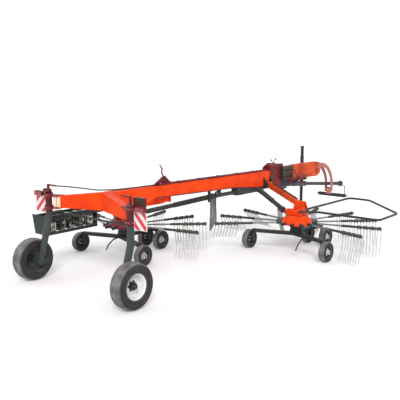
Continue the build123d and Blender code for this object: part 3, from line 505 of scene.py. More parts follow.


# Rear wheels: wide implement tyres with four ribs and notched shoulders on bolted silver rims.
# The tyre is moulded rubber, grey with dust on its tread and darker on its sides, and the rim's inner
# face, turned toward the machine, is painted dark as shade.
TYRE_R = 0.38
TYRE_HALF = 0.134
RIM_R = 0.198
WHEEL_X = 1.28
GROOVE = 0.009
SHOULDER_NOTCHES = 44
TREAD = ((0.06, 0.06, 0.06), (0.19, 0.187, 0.182))
SIDEWALL = ((0.009, 0.009, 0.01), (0.026, 0.025, 0.025))
SILVER = ((0.76, 0.77, 0.77), (0.52, 0.53, 0.53))
RIM_PAINTED_SHADE = (0.03, 0.031, 0.033)
RIM_SECTION = (  # (distance outwards, radius), flanges, well and dish
    (0.1, 0.199), (0.106, 0.209), (0.1, 0.212), (0.088, 0.199), (0.04, 0.19),
    (-0.04, 0.19), (-0.088, 0.199), (-0.1, 0.212), (-0.106, 0.209), (-0.1, 0.199),
    (-0.084, 0.19), (-0.06, 0.182), (-0.048, 0.178), (-0.042, 0.172), (-0.034, 0.15),
    (-0.012, 0.12), (-0.006, 0.085), (-0.006, 0.062), (0.002, 0.062), (0.002, 0.088),
    (-0.004, 0.124), (-0.024, 0.154), (-0.03, 0.18), (0.04, 0.184), (0.084, 0.19),
)
HUB_SECTION = (
    (-0.075, 0.052), (-0.07, 0.066), (0.05, 0.066), (0.056, 0.056), (0.085, 0.046),
    (0.098, 0.036), (0.1, 0.012),
)
WHEEL_BOLTS = 6
WHEEL_BOLTS_R = 0.076


def tyre(centre, outer, inner, half, groove, notches, around=132, section=96, ribs=4, square=0.62):
    """A ring whose section is the rounded box |x/half|^(2/square) + |(r-middle)/deep|^(2/square) = 1.
    The tread sinks by the groove between its ribs, and in notches round both shoulders."""
    t = 2 * np.pi * np.arange(section) / section
    along = half * np.sign(np.cos(t)) * np.abs(np.cos(t)) ** square
    middle = (outer + inner) / 2
    radius = middle + (outer - inner) / 2 * np.sign(np.sin(t)) * np.abs(np.sin(t)) ** square
    height = (radius - middle) / (outer - middle)
    line = np.abs(along) / half
    tread = np.clip(height * 3.0 - 1.9, 0.0, 1.0)
    between = np.clip(2.5 * np.cos(ribs * np.pi * line * 1.25) - 1.5, 0.0, 1.0) * (line < 0.75)
    shoulder = np.clip((line - 0.7) * 6.0, 0.0, 1.0) * np.clip(height * 2.0 - 0.5, 0.0, 1.0)
    angle = 2 * np.pi * np.arange(around) / around
    wave = np.clip(3.0 * np.cos(notches * angle), 0.0, 1.0)
    cut = (tread * between)[:, None] + shoulder[:, None] * wave[None, :] * 0.8
    r = radius[:, None] - groove * cut.clip(0.0, 1.0)
    x = np.broadcast_to(along[:, None], r.shape)
    points = np.stack((x, r * np.cos(angle), r * np.sin(angle)), axis=-1) + np.asarray(centre)
    return grid(points, loop=True)


def outwards(section, side):
    """A wheel's pairs (distance outwards, radius), mirrored where the side is -1."""
    return [(side * along, radius) for along, radius in section]


rubber = Finish("tyre_rubber", Roughness=0.8)
film = rubber.noise(7.0, 6.0)
side_face = rubber.facing("X").size().rise(0.45, 0.85)
tread_tones = rubber.mix(film.rise(0.25, 0.7), *TREAD)
side_tones = rubber.mix(film.rise(0.35, 0.7), *SIDEWALL)
rubber.colour(side_face, tread_tones, side_tones)
rubber.wire("Roughness", film * 0.2 + 0.62)
rubber.bump(rubber.noise(60.0, 4.0), 0.0006)
silver = paint("rim_paint", *SILVER, roughness=0.36, dust=0.12)
# Painted shade: faces turned toward the machine's middle darken to near black.
shaded_inner_face = (silver.facing("X") * (silver.axis("X") - float(ORIGIN[0]))).rise(0.0, -0.5)
silver.colour(shaded_inner_face, silver.tones, RIM_PAINTED_SHADE)

for name, side in (("left", -1), ("right", 1)):
    body = f"{name}_wheel"
    centre = np.array((side * WHEEL_X, 0.0, TYRE_R))
    ring = tyre(centre, TYRE_R, RIM_R - 0.004, TYRE_HALF, GROOVE, SHOULDER_NOTCHES)
    piece(f"implement_tyre_{name}", [ring], rubber, body, [f"tyre_{name}"])
    dish = turned(outwards(RIM_SECTION, side), centre, sides=72, loop=True)
    piece(f"rim_{name}_dish", [dish], silver, body, [f"rim_{name}"], crease=50.0)
    hub = [turned(outwards(HUB_SECTION, side), centre, sides=32)]
    for turn in 2 * np.pi * np.arange(WHEEL_BOLTS) / WHEEL_BOLTS:
        place = (side * 0.002, WHEEL_BOLTS_R * math.cos(turn), WHEEL_BOLTS_R * math.sin(turn))
        hub += bolt(centre + place, (side, 0, 0), 0.024, 0.02)
    piece(f"wheel_hub_{name}", hub, charcoal, body)


# Warning boards: thin sheets covered with reflecting film in red and white slanting stripes,
# with a folded rim. Beside them red lenses on the dark red lamp blocks, and a dark cable box
# above each block.
STRIPE_PITCH = 0.19
STRIPE_FROM = 2.5  # |x| + z at the edge of a stripe
BOARD_WHITE = ((0.8, 0.76, 0.76), (0.66, 0.56, 0.56))
BOARD_RED = (0.62, 0.018, 0.04)
BOARD_X = (1.135, 1.408)
BOARD_Z = (1.222, 1.508)
RIM_OUT = 0.002
RIM_IN = 0.004
LENS_RED = ((0.32, 0.006, 0.014), (0.16, 0.004, 0.01))
LENSES = ((0.0, 0.085), (0.09, 0.19))  # from the lamp block's outer edge
CABLE_BOX = ((0.06, 0.01, 0.012), (0.03, 0.026, 0.01))
striped = Finish("board_sheet", Roughness=0.35)
spot = striped.axis("X") - float(ORIGIN[0])
slant = (spot.size() + striped.axis("Z") - STRIPE_FROM) * (1.0 / STRIPE_PITCH)
red_part = (slant.fraction() - 0.5).rise(-0.02, 0.02)
weathered = striped.mix(striped.noise(14.0), *BOARD_WHITE)
striped.colour(red_part, weathered, BOARD_RED)
striped.bump(striped.noise(700.0, 1.0), 0.0001)
finish_nodes(striped, "warning_boards")
low, high = (corner - ORIGIN for corner in np.array(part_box("warning_boards")))
rims = []
for side in (-1, 1):
    x0, x1 = sorted(side * x for x in BOARD_X)
    y = (low[1] - RIM_OUT, high[1] + RIM_OUT)
    z0, z1 = BOARD_Z
    rims.append(box((x0 - RIM_OUT, x0 + RIM_IN), y, (z0, z1)))
    rims.append(box((x1 - RIM_IN, x1 + RIM_OUT), y, (z0, z1)))
    rims.append(box((x0, x1), y, (z0 - RIM_OUT, z0 + RIM_IN)))
    rims.append(box((x0, x1), y, (z1 - RIM_IN, z1 + RIM_OUT)))
# The rims' faces turned toward the machine's middle get the silver's painted shade.
piece("board_rims", rims, silver, bevel=0.001)

lens_red = Finish("lamp_plastic", Roughness=0.18, Coat_Weight=0.8)
lens_red.colour(lens_red.noise(120.0), *LENS_RED)
finish_nodes(maroon, "tail_lamps")
low, high = (corner - ORIGIN for corner in np.array(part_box("tail_lamps")))
lenses = []
for side in (-1, 1):
    for start, end in LENSES:
        x = sorted(side * (high[0] - 0.01 - reach) for reach in (start, end))
        lenses.append(box(x, (low[1] - 0.003, low[1] + 0.016), (low[2] + 0.012, high[2] - 0.02)))
piece("lamp_lenses", lenses, lens_red, bevel=0.003)
box_paint = paint("cable_box_paint", *CABLE_BOX, roughness=0.5)
boxes = [
    box((1.086, 1.3), (0.246, 0.33), (1.578, 1.72)),
    box((1.08, 1.306), (0.24, 0.336), (1.712, 1.724)),
    box((-1.25, -1.086), (0.246, 0.32), (1.578, 1.642)),
]
piece("cable_boxes", boxes, box_paint, bevel=0.006)


# Tower: ribs beside the dark red plates that carry the hooked lever on the beam, three cross
# pins through them, and a bolt on each end of a pin.
TOWER_Y = 2.09
TOWER_RIB = ((-0.235, -0.002), (0.235, -0.002), (0.115, 0.055), (-0.185, 0.04))
TOWER_PINS = ((0.01, 0.13), (-0.15, 0.035), (0.15, 0.035))
finish_nodes(maroon, "lever_tower")
foot = np.array((TOWER_Y, beam_top(TOWER_Y)))  # (y, z), from which ribs and pins are measured
ribs = [plate(foot + TOWER_RIB, x, x + 0.006, 0) for x in (-0.055, 0.049)]
pins = []
for y, z in foot + TOWER_PINS:
    ribs.append(turned([(-0.058, 0.02), (0.058, 0.02)], (0.0, y, z), sides=20))
    for side in (-1, 1):
        pins += bolt((side * 0.057, y, z), (side, 0, 0))
piece("tower_gussets", ribs, maroon, bevel=0.002)
piece("tower_bolts", pins, zinc)


# Drawbar bracket: bolts through its dark red cheek plates, a cover between them, and two small
# levers with round knobs that stand out of the cover.
CHEEK_X = 0.114
CHEEK_BOLTS = (  # (y, z)
    (5.56, 1.28), (5.56, 1.56), (5.7, 1.25), (5.72, 1.62), (5.9, 1.36), (5.92, 1.6), (5.8, 1.45),
)
KNOB = ((-0.018, 0.002), (-0.014, 0.014), (0.0, 0.019), (0.014, 0.014), (0.018, 0.002))
front_bolts = []
for side in (-1, 1):
    for y, z in CHEEK_BOLTS:
        front_bolts += bolt((side * CHEEK_X, y, z), (side, 0, 0), 0.032, 0.018)
piece("bracket_bolts", front_bolts, maroon)
levers = []
for x, y, lean in ((0.04, 5.72, -0.1), (-0.05, 5.86, 0.08)):
    stem = eased([(x, y, 1.6), (x, y, 1.74), (x, y + lean, 1.8)], 0.03)
    levers.append(tube(stem, 0.008, 8))
    levers.append(turned(KNOB, (x, y + lean, 1.806), (0, 0, 1), 16))
levers.append(box((-0.095, 0.095), (5.62, 5.96), (1.585, 1.7)))
piece("bracket_levers", levers, maroon, bevel=0.003)


# Valve block beside the drawbar: a dark green cast box with screwed fittings, from which bent
# pipes drop to the gearbox and run forward under the drawbar in a maroon channel; one is blue.
VALVE_GREEN = ((0.022, 0.034, 0.022), (0.085, 0.026, 0.01))
BLUE = ((0.035, 0.045, 0.3), (0.02, 0.02, 0.16))
FITTING = ((0.0, 0.022), (0.012, 0.022), (0.014, 0.015), (0.034, 0.015))
VALVE_PIPES = (  # (y and z of the fitting, drop, run forward)
    (5.98, 1.4, 0.24, 0.35), (6.08, 1.55, 0.2, 0.55),
    (6.18, 1.4, 0.28, 0.8), (6.28, 1.55, 0.16, 1.0),
)
BLUE_PIPE = (
    (0.15, 6.02, 1.335), (0.17, 6.06, 1.24), (0.16, 6.3, 1.14), (0.13, 6.62, 1.2),
    (0.09, 6.8, 1.325),
)
BENT_PIPE_R = 0.011
BLUE_PIPE_R = 0.013
valve_paint = paint("valve_paint", *VALVE_GREEN)
finish_nodes(valve_paint, "valve_box")
channel = [box((-0.07, 0.07), (6.24, 7.18), (1.215, 1.3))]
channel.append(box((-0.086, 0.086), (7.56, 7.69), (1.345, 1.44)))
for y in (6.42, 6.74, 7.06):
    channel.append(box((-0.084, 0.084), (y - 0.018, y + 0.018), (1.205, 1.345)))
piece("pipe_channel", channel, maroon, bevel=0.004)
fittings = []
pipes = []
for y, z, drop, ahead in VALVE_PIPES:
    fittings += [turned(FITTING, (0.186, y, height), (1, 0, 0), 6) for height in (1.4, 1.55)]
    route = [(0.205, y, z), (0.25, y + 0.05, z - 0.02), (0.235, y + 0.12, z - drop)]
    route += [(0.11, y + ahead, 1.3), (0.07, y + ahead + 0.1, 1.345)]
    pipes.append(tube(eased(route, 0.12, 8), BENT_PIPE_R, 8, across=(0.35, -0.55, 0.75)))
piece("valve_fittings", fittings, charcoal)
piece("valve_pipes", pipes, maroon)
sheath = Finish("blue_sheath", Roughness=0.4)
sheath.colour(sheath.noise(25.0), *BLUE)
blue_pipe = tube(eased(BLUE_PIPE, 0.14, 8), BLUE_PIPE_R, 8, across=(1.0, 0.2, 0.1))
piece("blue_pipe", [blue_pipe], sheath)


# Gooseneck and hitch: two flat plates cut to a curve, in a dull brownish red, with thick edges;
# the cross bar's pins and collars are turned and zinc plated, and a bent rod stands on it.
NECK = ((7.74, 1.52), (8.25, 1.33), (8.4, 0.79))  # (y, z) of the middle line's start, middle and end
NECK_EDGE = 0.0437  # from the middle line
DULL_RED = ((0.46, 0.15, 0.115), (0.3, 0.085, 0.07))
BAR_Y = 8.6
BAR_Z = 0.65
dusky = paint("gooseneck_paint", *DULL_RED, roughness=0.5)
finish_nodes(dusky, "gooseneck")
line = np.array(NECK)
t = np.linspace(0.0, 1.0, 24)[:, None]
bend = 2 * line[1] - (line[0] + line[2]) / 2
middle = line[0] * (1 - t) ** 2 + 2 * bend * t * (1 - t) + line[2] * t ** 2
run = unit(np.gradient(middle, axis=0))
across = np.stack((run[:, 1], -run[:, 0]), axis=-1) * NECK_EDGE
neck_edges = []
for side in (-1, 1):
    for edge in (middle - across, middle + across):
        neck_edges.append(tube([(side * 0.082, y, z) for y, z in edge], 0.006, 8, across=(1, 0, 0)))
piece("neck_edges", neck_edges, dusky)
collars = []
for side in (-1, 1):
    axis = (side, 0, 0)
    collars.append(turned([(0.0, 0.03), (0.016, 0.03)], (side * 0.392, BAR_Y, BAR_Z), axis, 24))
    pin = [(0.0, 0.0145), (0.055, 0.0145), (0.06, 0.011)]
    collars.append(turned(pin, (side * 0.398, BAR_Y, BAR_Z), axis, 20))
piece("hitch_pins", collars, zinc, "hitch")
rod = [(0.36, BAR_Y, 0.7), (0.36, BAR_Y, 0.915), (0.3, 8.56, 0.935), (0.262, 8.54, 0.905)]
piece("hose_holder", [tube(eased(rod, 0.05), 0.008, 8)], charcoal, "hitch")


# Jack: a flat cap and a T handle on the leg, and bolts that hold its sleeve.
JACK_X = -0.19
JACK_Y = 7.345
CAP = ((1.985, 0.046), (2.005, 0.046), (2.008, 0.04))  # (z, radius)
HANDLE_HALF = 0.06
HANDLE_Z = 1.992
cap = [turned(CAP, (JACK_X, JACK_Y, 0.0), (0, 0, 1), 24)]
cap.append(tube([(JACK_X + side * HANDLE_HALF, JACK_Y, HANDLE_Z) for side in (-1, 1)], 0.009, 10))
piece("jack_handle", cap, charcoal, "jack", bevel=0.002)
jack_bolts = []
for y in (JACK_Y - 0.028, JACK_Y + 0.028):
    for z in (1.365, 1.485):
        jack_bolts += bolt((-0.152, y, z), (-1, 0, 0), 0.016)
piece("jack_bolts", jack_bolts, zinc)


# Power shaft: telescoping tubes inside a black plastic guard that slides on itself, with ribbed
# bells over both joints, and a zinc plated yoke at the tractor's end.
SHAFT_BACK = np.array((0.0, 6.25, 1.195))
SHAFT_FRONT = np.array((0.0, 9.1, 0.89))
YOKE = ((0.0, 0.024), (0.03, 0.024), (0.032, 0.034), (0.062, 0.034), (0.064, 0.03))


def ribbed_guard(start, end, wide, narrow, change, bell, bell_length, ribs=5):
    """Stations along the shaft from start to end: a bell whose radius swings by ribs, a wide tube up to
    the change, a narrow tube, and a second bell."""
    length = float(np.linalg.norm(end - start))
    s = np.linspace(0.0, bell_length, 8 * ribs)
    swing = 0.002 + 0.002 * np.cos(2 * np.pi * ribs * s / bell_length)
    taper = (s / bell_length) ** 1.5
    first = np.stack((s, bell + (wide - bell) * taper + swing), axis=-1)
    last = np.stack((length - s, bell + (narrow - bell) * taper + swing), axis=-1)[::-1]
    steps = [(bell_length + 0.004, wide), (change, wide), (change + 0.004, narrow)]
    return turned(np.concatenate((first, steps, last)), start, end - start, 32)


run = unit(SHAFT_FRONT - SHAFT_BACK)
guard = ribbed_guard(
    SHAFT_BACK + run * 0.002, SHAFT_FRONT - run * 0.06,
    wide=0.064, narrow=0.041, change=0.95, bell=0.072, bell_length=0.16,
)
piece("shaft_guard", [guard], plastic, "frame", ["power_shaft"], crease=60.0)
yoke = [turned(YOKE, SHAFT_FRONT - run * 0.07, run, 24)]
for side in (1, -1):
    out = np.array((side, 0.0, 0.0))
    yoke += bolt(SHAFT_FRONT - run * 0.03 + out * 0.032, out, 0.018, 0.014)
piece("input_yoke", yoke, zinc)


# Gearboxes below the beam: dark castings with bolted covers and round bearing caps. The front
# rotor's shaft leaves through the cap that takes the place of the last cover on the right.
CAST = ((0.018, 0.019, 0.021), (0.055, 0.056, 0.058))
COVERS_Y = ((4.33, 4.56), (4.6, 4.82), (4.85, 5.07))
COVERS_Z = (1.165, 1.3)
CAPS = (  # (distance, radius) pairs, place, axis
    (((0.0, 0.06), (0.014, 0.06), (0.016, 0.046), (0.03, 0.044)), (0.084, 5.01, 1.205), (1, 0, 0)),
    (((0.0, 0.062), (0.016, 0.062), (0.018, 0.05)), (0.0, 4.302, 1.215), (0, -1, 0)),
    (((0.0, 0.07), (0.014, 0.07), (0.016, 0.056)), (0.0, 6.228, 1.196), (0, 1, 0)),
)
cast = Finish("cast", Roughness=0.55)
cast.colour(cast.noise(22.0, 6.0), *CAST)
cast.bump(cast.noise(180.0, 4.0), 0.0006)
finish_nodes(cast, "splitter_gearbox", "input_gearbox")
covers = []
cover_bolts = []
for y0, y1 in COVERS_Y:
    for side in (-1, 1):
        if side > 0 and y1 > 5.0:
            continue
        covers.append(box(sorted((side * 0.084, side * 0.093)), (y0, y1), COVERS_Z))
        for y in (y0 + 0.022, y1 - 0.022):
            for z in (1.182, 1.283):
                cover_bolts += bolt((side * 0.092, y, z), (side, 0, 0), 0.017, 0.01)
covers += [turned(profile, place, axis, 32) for profile, place, axis in CAPS]
piece("gearbox_covers", covers, cast, bevel=0.003)
piece("gearbox_bolts", cover_bolts, zinc)


# Side drive shafts: guarded telescoping shafts from the splitter to each rotor's gearbox, black
# plastic tube with short ribbed bells at both joints, and a pin through the inner joint.
SHAFTS = {
    "front": (np.array((0.15, 5.01, 1.205)), np.array((0.945, 4.8, 0.865))),
    "rear": (np.array((-0.03, 3.64, 1.215)), np.array((-0.975, 2.44, 0.915))),
}
JOINT_PIN = {"front": (-0.044, 0.0435), "rear": (-0.05, 0.012)}  # its ends along y
JOINT_PIN_R = 0.014
for name, (root, tip) in SHAFTS.items():
    body = f"{name}_shaft"
    run = unit(tip - root)
    shell = ribbed_guard(
        root + run * 0.016, tip - run * 0.014, wide=0.054, narrow=0.046,
        change=0.55 * float(np.linalg.norm(tip - root)), bell=0.06, bell_length=0.1, ribs=4,
    )
    joints = [tube([root, tip], 0.018, 10)]
    joints.append(turned([(end, JOINT_PIN_R) for end in JOINT_PIN[name]], root, (0, 1, 0), 16))
    replaced = [f"{name}_drive_shaft"]
    piece(f"{name}_shaft_guard", [shell], plastic, body, replaced, crease=60.0)
    piece(f"{name}_shaft_joint", joints, zinc, body)


# Rotors. The bell is spun from sheet and painted orange, with twelve cast sockets for the arms bolted
# round its rim. The rear bell is dark red instead: painted shade, since it lies in the beam's shadow.
HUBS = {"front": np.array((1.22, 4.89, 0.0)), "rear": np.array((-1.35, 2.32, 0.0))}
# Orange in front; the rear's dark red is painted shade of the orange.
ROTOR_PAINT_AND_SHADE = {"front": orange, "rear": maroon}
FIRST_ARM = {"front": -14.0, "rear": 14.0}
FITTED = {"front": 9, "rear": 6}
REACH = {"front": 1.755, "rear": 1.715}
ARM_COUNT = 12
ARM_Z = 0.63
SOCKET_END = 0.44
BELL = (  # (z, radius)
    (0.599, 0.3), (0.598, 0.332), (0.604, 0.335), (0.64, 0.334), (0.656, 0.328), (0.69, 0.301),
    (0.735, 0.265), (0.768, 0.228), (0.786, 0.204), (0.79, 0.196), (0.79, 0.08),
)
SOCKET = (  # (reach, radius)
    (0.285, 0.036), (0.33, 0.036), (0.345, 0.03), (0.405, 0.03), (0.408, 0.035),
    (SOCKET_END - 0.004, 0.035), (SOCKET_END, 0.031),
)
BELL_BOLTS = 16


def turn_about_z(degrees):
    c, s = math.cos(math.radians(degrees)), math.sin(math.radians(degrees))
    return np.array(((c, -s, 0.0), (s, c, 0.0), (0.0, 0.0, 1.0)))


for name, hub in HUBS.items():
    body = f"{name}_rotor"
    bell = turned(BELL, hub, (0, 0, 1), 96)
    piece(f"{name}_bell", [bell], ROTOR_PAINT_AND_SHADE[name], body, [f"{name}_hub"], crease=28.0)
    sockets = []
    nuts = []
    start = hub + (0.0, 0.0, ARM_Z)
    for i in range(ARM_COUNT):
        along = turn_about_z(FIRST_ARM[name] + i * 360.0 / ARM_COUNT)[:, 0]
        sockets.append(turned(SOCKET, start, along, 20))
        for reach in (0.368, 0.425):
            nuts += bolt(start + along * reach + (0.0, 0.0, 0.029), (0, 0, 1), 0.02, 0.016)
    for turn in 2 * np.pi * np.arange(BELL_BOLTS) / BELL_BOLTS:
        out = np.array((math.cos(turn), math.sin(turn), 0.0))
        nuts += bolt(hub + 0.232 * out + (0.0, 0.0, 0.764), 0.62 * out + (0.0, 0.0, 0.78), 0.015, 0.009)
    piece(f"{name}_sockets", sockets, charcoal, body)
    piece(f"{name}_bell_bolts", nuts, zinc, body)


# Tine arms: a grey steel tube that plugs into the socket, a thicker olive-black carrier tube on
# its outer half, and four pairs of spring steel tines, each wound in coils round the carrier.
CARRIER_FROM = 0.95
INNER_R = 0.019
CARRIER_R = 0.026
TINE_AT = (0.45, 0.317, 0.183, 0.05)  # from the arm's end
HOLDER = ((-0.01, 0.0275), (-0.008, 0.031), (0.008, 0.031), (0.01, 0.0275))
WIRE_R = 0.0075
COIL_R = 0.033
COIL_TURNS = 3.0
COIL_FROM = 0.008
COIL_TO = 0.036
TINE_LEG = (  # (y, z) from the carrier's middle
    (0.032, -0.06), (0.026, -0.15), (0.014, -0.26), (0.002, -0.33), (-0.018, -0.41),
    (-0.048, -0.538),
)
RAISED_FROM = 150.0  # an arm further round than this has its tines swung back
RAISED_TURN = math.radians(-42.0)
COILS_ABOVE = (0.56, 0.6)  # heights between which the wire gets dark
OLIVE = ((0.034, 0.038, 0.032), (0.018, 0.021, 0.018))
STEEL = ((0.12, 0.125, 0.13), (0.24, 0.245, 0.25))
WIRE = ((0.34, 0.34, 0.335), (0.56, 0.56, 0.55))
COIL_DARK = (0.06, 0.064, 0.056)
olive = paint("arm_paint", *OLIVE, roughness=0.5, dust=0.3)
steel = Finish("galvanised", Metallic=0.3, Roughness=0.45)
spangle = steel.noise(70.0, 3.0)
steel.colour(spangle, *STEEL)
steel.wire("Roughness", spangle * 0.2 + 0.34)
wire_steel = Finish("tine_wire", Metallic=0.1, Roughness=0.45)
legs = wire_steel.mix(wire_steel.noise(12.0).rise(0.3, 0.7), *WIRE)
wire_steel.colour(wire_steel.axis("Z").rise(*COILS_ABOVE), legs, COIL_DARK)


def turn_about_x(angle):
    c, s = math.cos(angle), math.sin(angle)
    return np.array(((1.0, 0.0, 0.0), (0.0, c, -s), (0.0, s, c)))


def placed(shells, matrix, move=0.0):
    return [(points @ matrix.T + move, faces) for points, faces in shells]


def tine(place, side):
    """One leg of a pair: a helix (place + side * s, COIL_R cos a, COIL_R sin a) from the pair's middle
    outwards, then a straight run down, and a bent end that trails."""
    a = np.linspace(0.0, 2 * np.pi * COIL_TURNS, 30)
    s = np.linspace(COIL_FROM, COIL_TO, 30)
    coil = np.stack((place + side * s, COIL_R * np.cos(a), COIL_R * np.sin(a)), axis=-1)
    leg = [(place + side * COIL_TO, y, z) for y, z in TINE_LEG]
    return tube(np.concatenate((coil, leg)), WIRE_R, 6, across=(1.0, 0.12, 0.05))


def arm_shells(reach, raised):
    """Inner tube, carrier tube with its end plug and holders, and tines, along +X from the rotor's
    centre."""
    inner = turned([(SOCKET_END, INNER_R), (CARRIER_FROM + 0.01, INNER_R)], (0, 0, 0), sides=16)
    profile = [(CARRIER_FROM, 0.022), (CARRIER_FROM + 0.004, CARRIER_R)]
    profile += [(reach - 0.012, CARRIER_R), (reach - 0.006, 0.022), (reach, 0.016)]
    carrier = [turned(profile, (0, 0, 0), sides=16)]
    carrier += [turned(HOLDER, (reach - back, 0, 0), sides=14) for back in TINE_AT]
    tines = [tine(reach - back, side) for back in TINE_AT for side in (-1, 1)]
    if raised:
        tines = placed(tines, turn_about_x(RAISED_TURN))
    return [inner], carrier, tines


for name, hub in HUBS.items():
    body = f"{name}_rotor"
    inners, carriers, tines = [], [], []
    for i in range(FITTED[name]):
        turn = FIRST_ARM[name] + i * 360.0 / ARM_COUNT
        parts = arm_shells(REACH[name], turn > RAISED_FROM)
        for group, shells in zip((inners, carriers, tines), parts):
            group += placed(shells, turn_about_z(turn), hub + (0.0, 0.0, ARM_Z))
    piece(f"{name}_arm_tubes", inners, steel, body, [f"{name}_arms"])
    piece(f"{name}_tine_carriers", carriers, olive, body)
    piece(f"{name}_tines", tines, wire_steel, body, crease=60.0)


# Gearbox heads: castings over the bells with a round cover, a collar, bearing caps at the drive shaft
# and pins through the fork, orange in front; at the rear they are dark red, which is painted shade of
# the orange.
HEAD_TOP = 0.865
PIVOT = {"front": (1.22, 5.05, 0.99), "rear": (-1.35, 2.23, 0.99)}
SIDE = {"front": 1.0, "rear": -1.0}
COVER_Y = {"front": -0.05, "rear": 0.06}  # from the rotor's centre
HEAD_COVER = ((0.86, 0.13), (0.878, 0.13), (0.89, 0.112), (0.9, 0.06), (0.901, 0.01))
HEAD_COLLAR = ((0.795, 0.15), (0.803, 0.168), (0.812, 0.168), (0.82, 0.15))
HEAD_WEB = ((-0.15, 0.862), (0.15, 0.862), (0.105, 1.062), (-0.105, 1.062))
SHAFT_CAP = ((0.0, 0.055), (0.016, 0.055), (0.02, 0.042), (0.034, 0.04))
FORK_CAP = ((0.0, 0.034), (0.008, 0.034), (0.01, 0.024), (0.022, 0.024))
for name, hub in HUBS.items():
    x, y, z = PIVOT[name]
    tip = SHAFTS[name][1]
    shaft_face = (hub[0] - SIDE[name] * 0.162, tip[1], tip[2])
    shells = [
        turned(HEAD_COVER, hub + (0.0, COVER_Y[name], 0.0), (0, 0, 1), 40),
        turned(HEAD_COLLAR, hub, (0, 0, 1), 48),
        turned(SHAFT_CAP, shaft_face, (-SIDE[name], 0, 0), 28),
        plate(np.array(HEAD_WEB) + (hub[0], 0.0), y - 0.096, y - 0.086, 1),
    ]
    body = f"{name}_head"
    piece(f"{name}_head_castings", shells, ROTOR_PAINT_AND_SHADE[name], body, bevel=0.002)
    fixings = []
    for sx, sy in ((-1, -1), (-1, 1), (1, -1), (1, 1)):
        fixings += bolt(hub + (sx * 0.142, sy * 0.142, HEAD_TOP), (0, 0, 1), 0.026, 0.018)
        fixings += bolt(hub + (sx * 0.165, sy * 0.11, 0.833), (sx, 0, 0), 0.02, 0.012)
    for side in (-1, 1):
        fixings.append(turned(FORK_CAP, (x, y + side * 0.083, z), (0, side, 0), 20))
    piece(f"{name}_head_bolts", fixings, zinc, body)


# Booms: welded boxes with two steel pipes in clips along their top, from the hinge tube to the
# head's fork. The boxes get lower by the taper, so the pipes and clips do too.
BOOM_ROOT = {"front": (0.172, 5.37, 1.29), "rear": (-0.172, 2.23, 1.29)}
BOOM_PIPE_S = (0.1, 0.4, 0.75, 0.98)  # distances from the root
BOOM_CLIP_S = (0.22, 0.55, 0.88)
TAPER = 0.018
for name, root in BOOM_ROOT.items():
    start = np.array(root)
    run = unit(np.array(PIVOT[name]) - start)
    up = unit(np.cross(run, (0.0, SIDE[name], 0.0)))
    lines = []
    for offset in (-0.022, 0.022):
        middle = start + (0.0, offset, 0.0)
        track = [middle + run * s + up * (0.075 - TAPER * s) for s in BOOM_PIPE_S]
        lines.append(tube(track, 0.009, 8, across=(0.2, 1.0, 0.1)))
    piece(f"{name}_boom_pipes", lines, maroon, f"{name}_boom")
    lugs = []
    for s in BOOM_CLIP_S:
        x, y, z = start + run * s + up * (0.07 - TAPER * s)
        lugs.append(box((x - 0.014, x + 0.014), (y - 0.038, y + 0.038), (z - 0.014, z + 0.02)))
    piece(f"{name}_boom_clips", lugs, plastic, f"{name}_boom", bevel=0.003)


# Carriage wheels: eight small tyres with fine ribs on pressed charcoal rims, each with an
# off-white dished disc on its outer side.
SMALL_R = 0.205
SMALL_HALF = 0.074
CARRIAGE_WHEELS = ((0.935, -0.395), (-0.945, -0.395), (0.225, 0.84), (-0.225, 0.84))
SMALL_RIM = (
    (0.052, 0.104), (0.058, 0.114), (0.052, 0.118), (0.046, 0.106), (-0.046, 0.106),
    (-0.052, 0.118), (-0.058, 0.114), (-0.05, 0.102), (-0.01, 0.094), (0.0, 0.06),
    (0.02, 0.04), (0.045, 0.036), (0.058, 0.034), (0.058, 0.016), (0.068, 0.016), (0.068, 0.04),
    (0.05, 0.044), (0.032, 0.05), (0.014, 0.066), (0.006, 0.092), (0.02, 0.098),
)
SMALL_DISC = (
    (0.004, 0.024), (0.01, 0.08), (0.016, 0.084), (0.034, 0.058), (0.056, 0.048), (0.07, 0.044),
    (0.07, 0.02), (0.058, 0.018),
)
OFF_WHITE = ((0.56, 0.56, 0.54), (0.3, 0.3, 0.29))
off_white = paint("small_rim_paint", *OFF_WHITE, dust=0.2)
for name, hub in HUBS.items():
    for i, (wx, wy) in enumerate(CARRIAGE_WHEELS, 1):
        side = 1 if wx > 0 else -1
        centre = hub + (wx, wy, SMALL_R)
        body = f"{name}_small_wheel_{i}"
        ring = tyre(centre, SMALL_R, 0.104, SMALL_HALF, 0.006, 30, around=90, section=56, ribs=3)
        piece(f"{name}_small_tyre_{i}", [ring], rubber, body, [f"{name}_wheel_{i}"])
        rim = turned(outwards(SMALL_RIM, side), centre, sides=48, loop=True)
        piece(f"{name}_small_rim_{i}", [rim], charcoal, body, crease=50.0)
        disc = turned(outwards(SMALL_DISC, side), centre, sides=40, loop=True)
        piece(f"{name}_small_disc_{i}", [disc], off_white, body, crease=50.0)


# Guard hoop: one bent tube round the front rotor, in charcoal, bolted to the head at both ends.
GUARD_Z = 0.9
GUARD_R = 0.0235
GUARD = (  # (x, y) from the rotor's centre
    (0.142, 0.01), (0.142, 2.06), (0.64, 2.06), (1.82, 0.91), (1.84, 0.01), (0.48, 0.01),
    (0.165, -0.2),
)
line = eased([HUBS["front"] + (x, y, GUARD_Z) for x, y in GUARD], 0.11, 10)
hoop = tube(line, GUARD_R, 16, across=(0, 0, 1))
piece("guard_hoop", [hoop], charcoal, "front_head", ["front_guard"])
clamps = []
for x, y in (GUARD[0], GUARD[-1]):
    for step in (-0.018, 0.018):
        clamps += bolt(HUBS["front"] + (x, y + step, GUARD_Z + 0.038), (0, 0, 1), 0.018, 0.014)
piece("guard_bolts", clamps, zinc, "front_head")


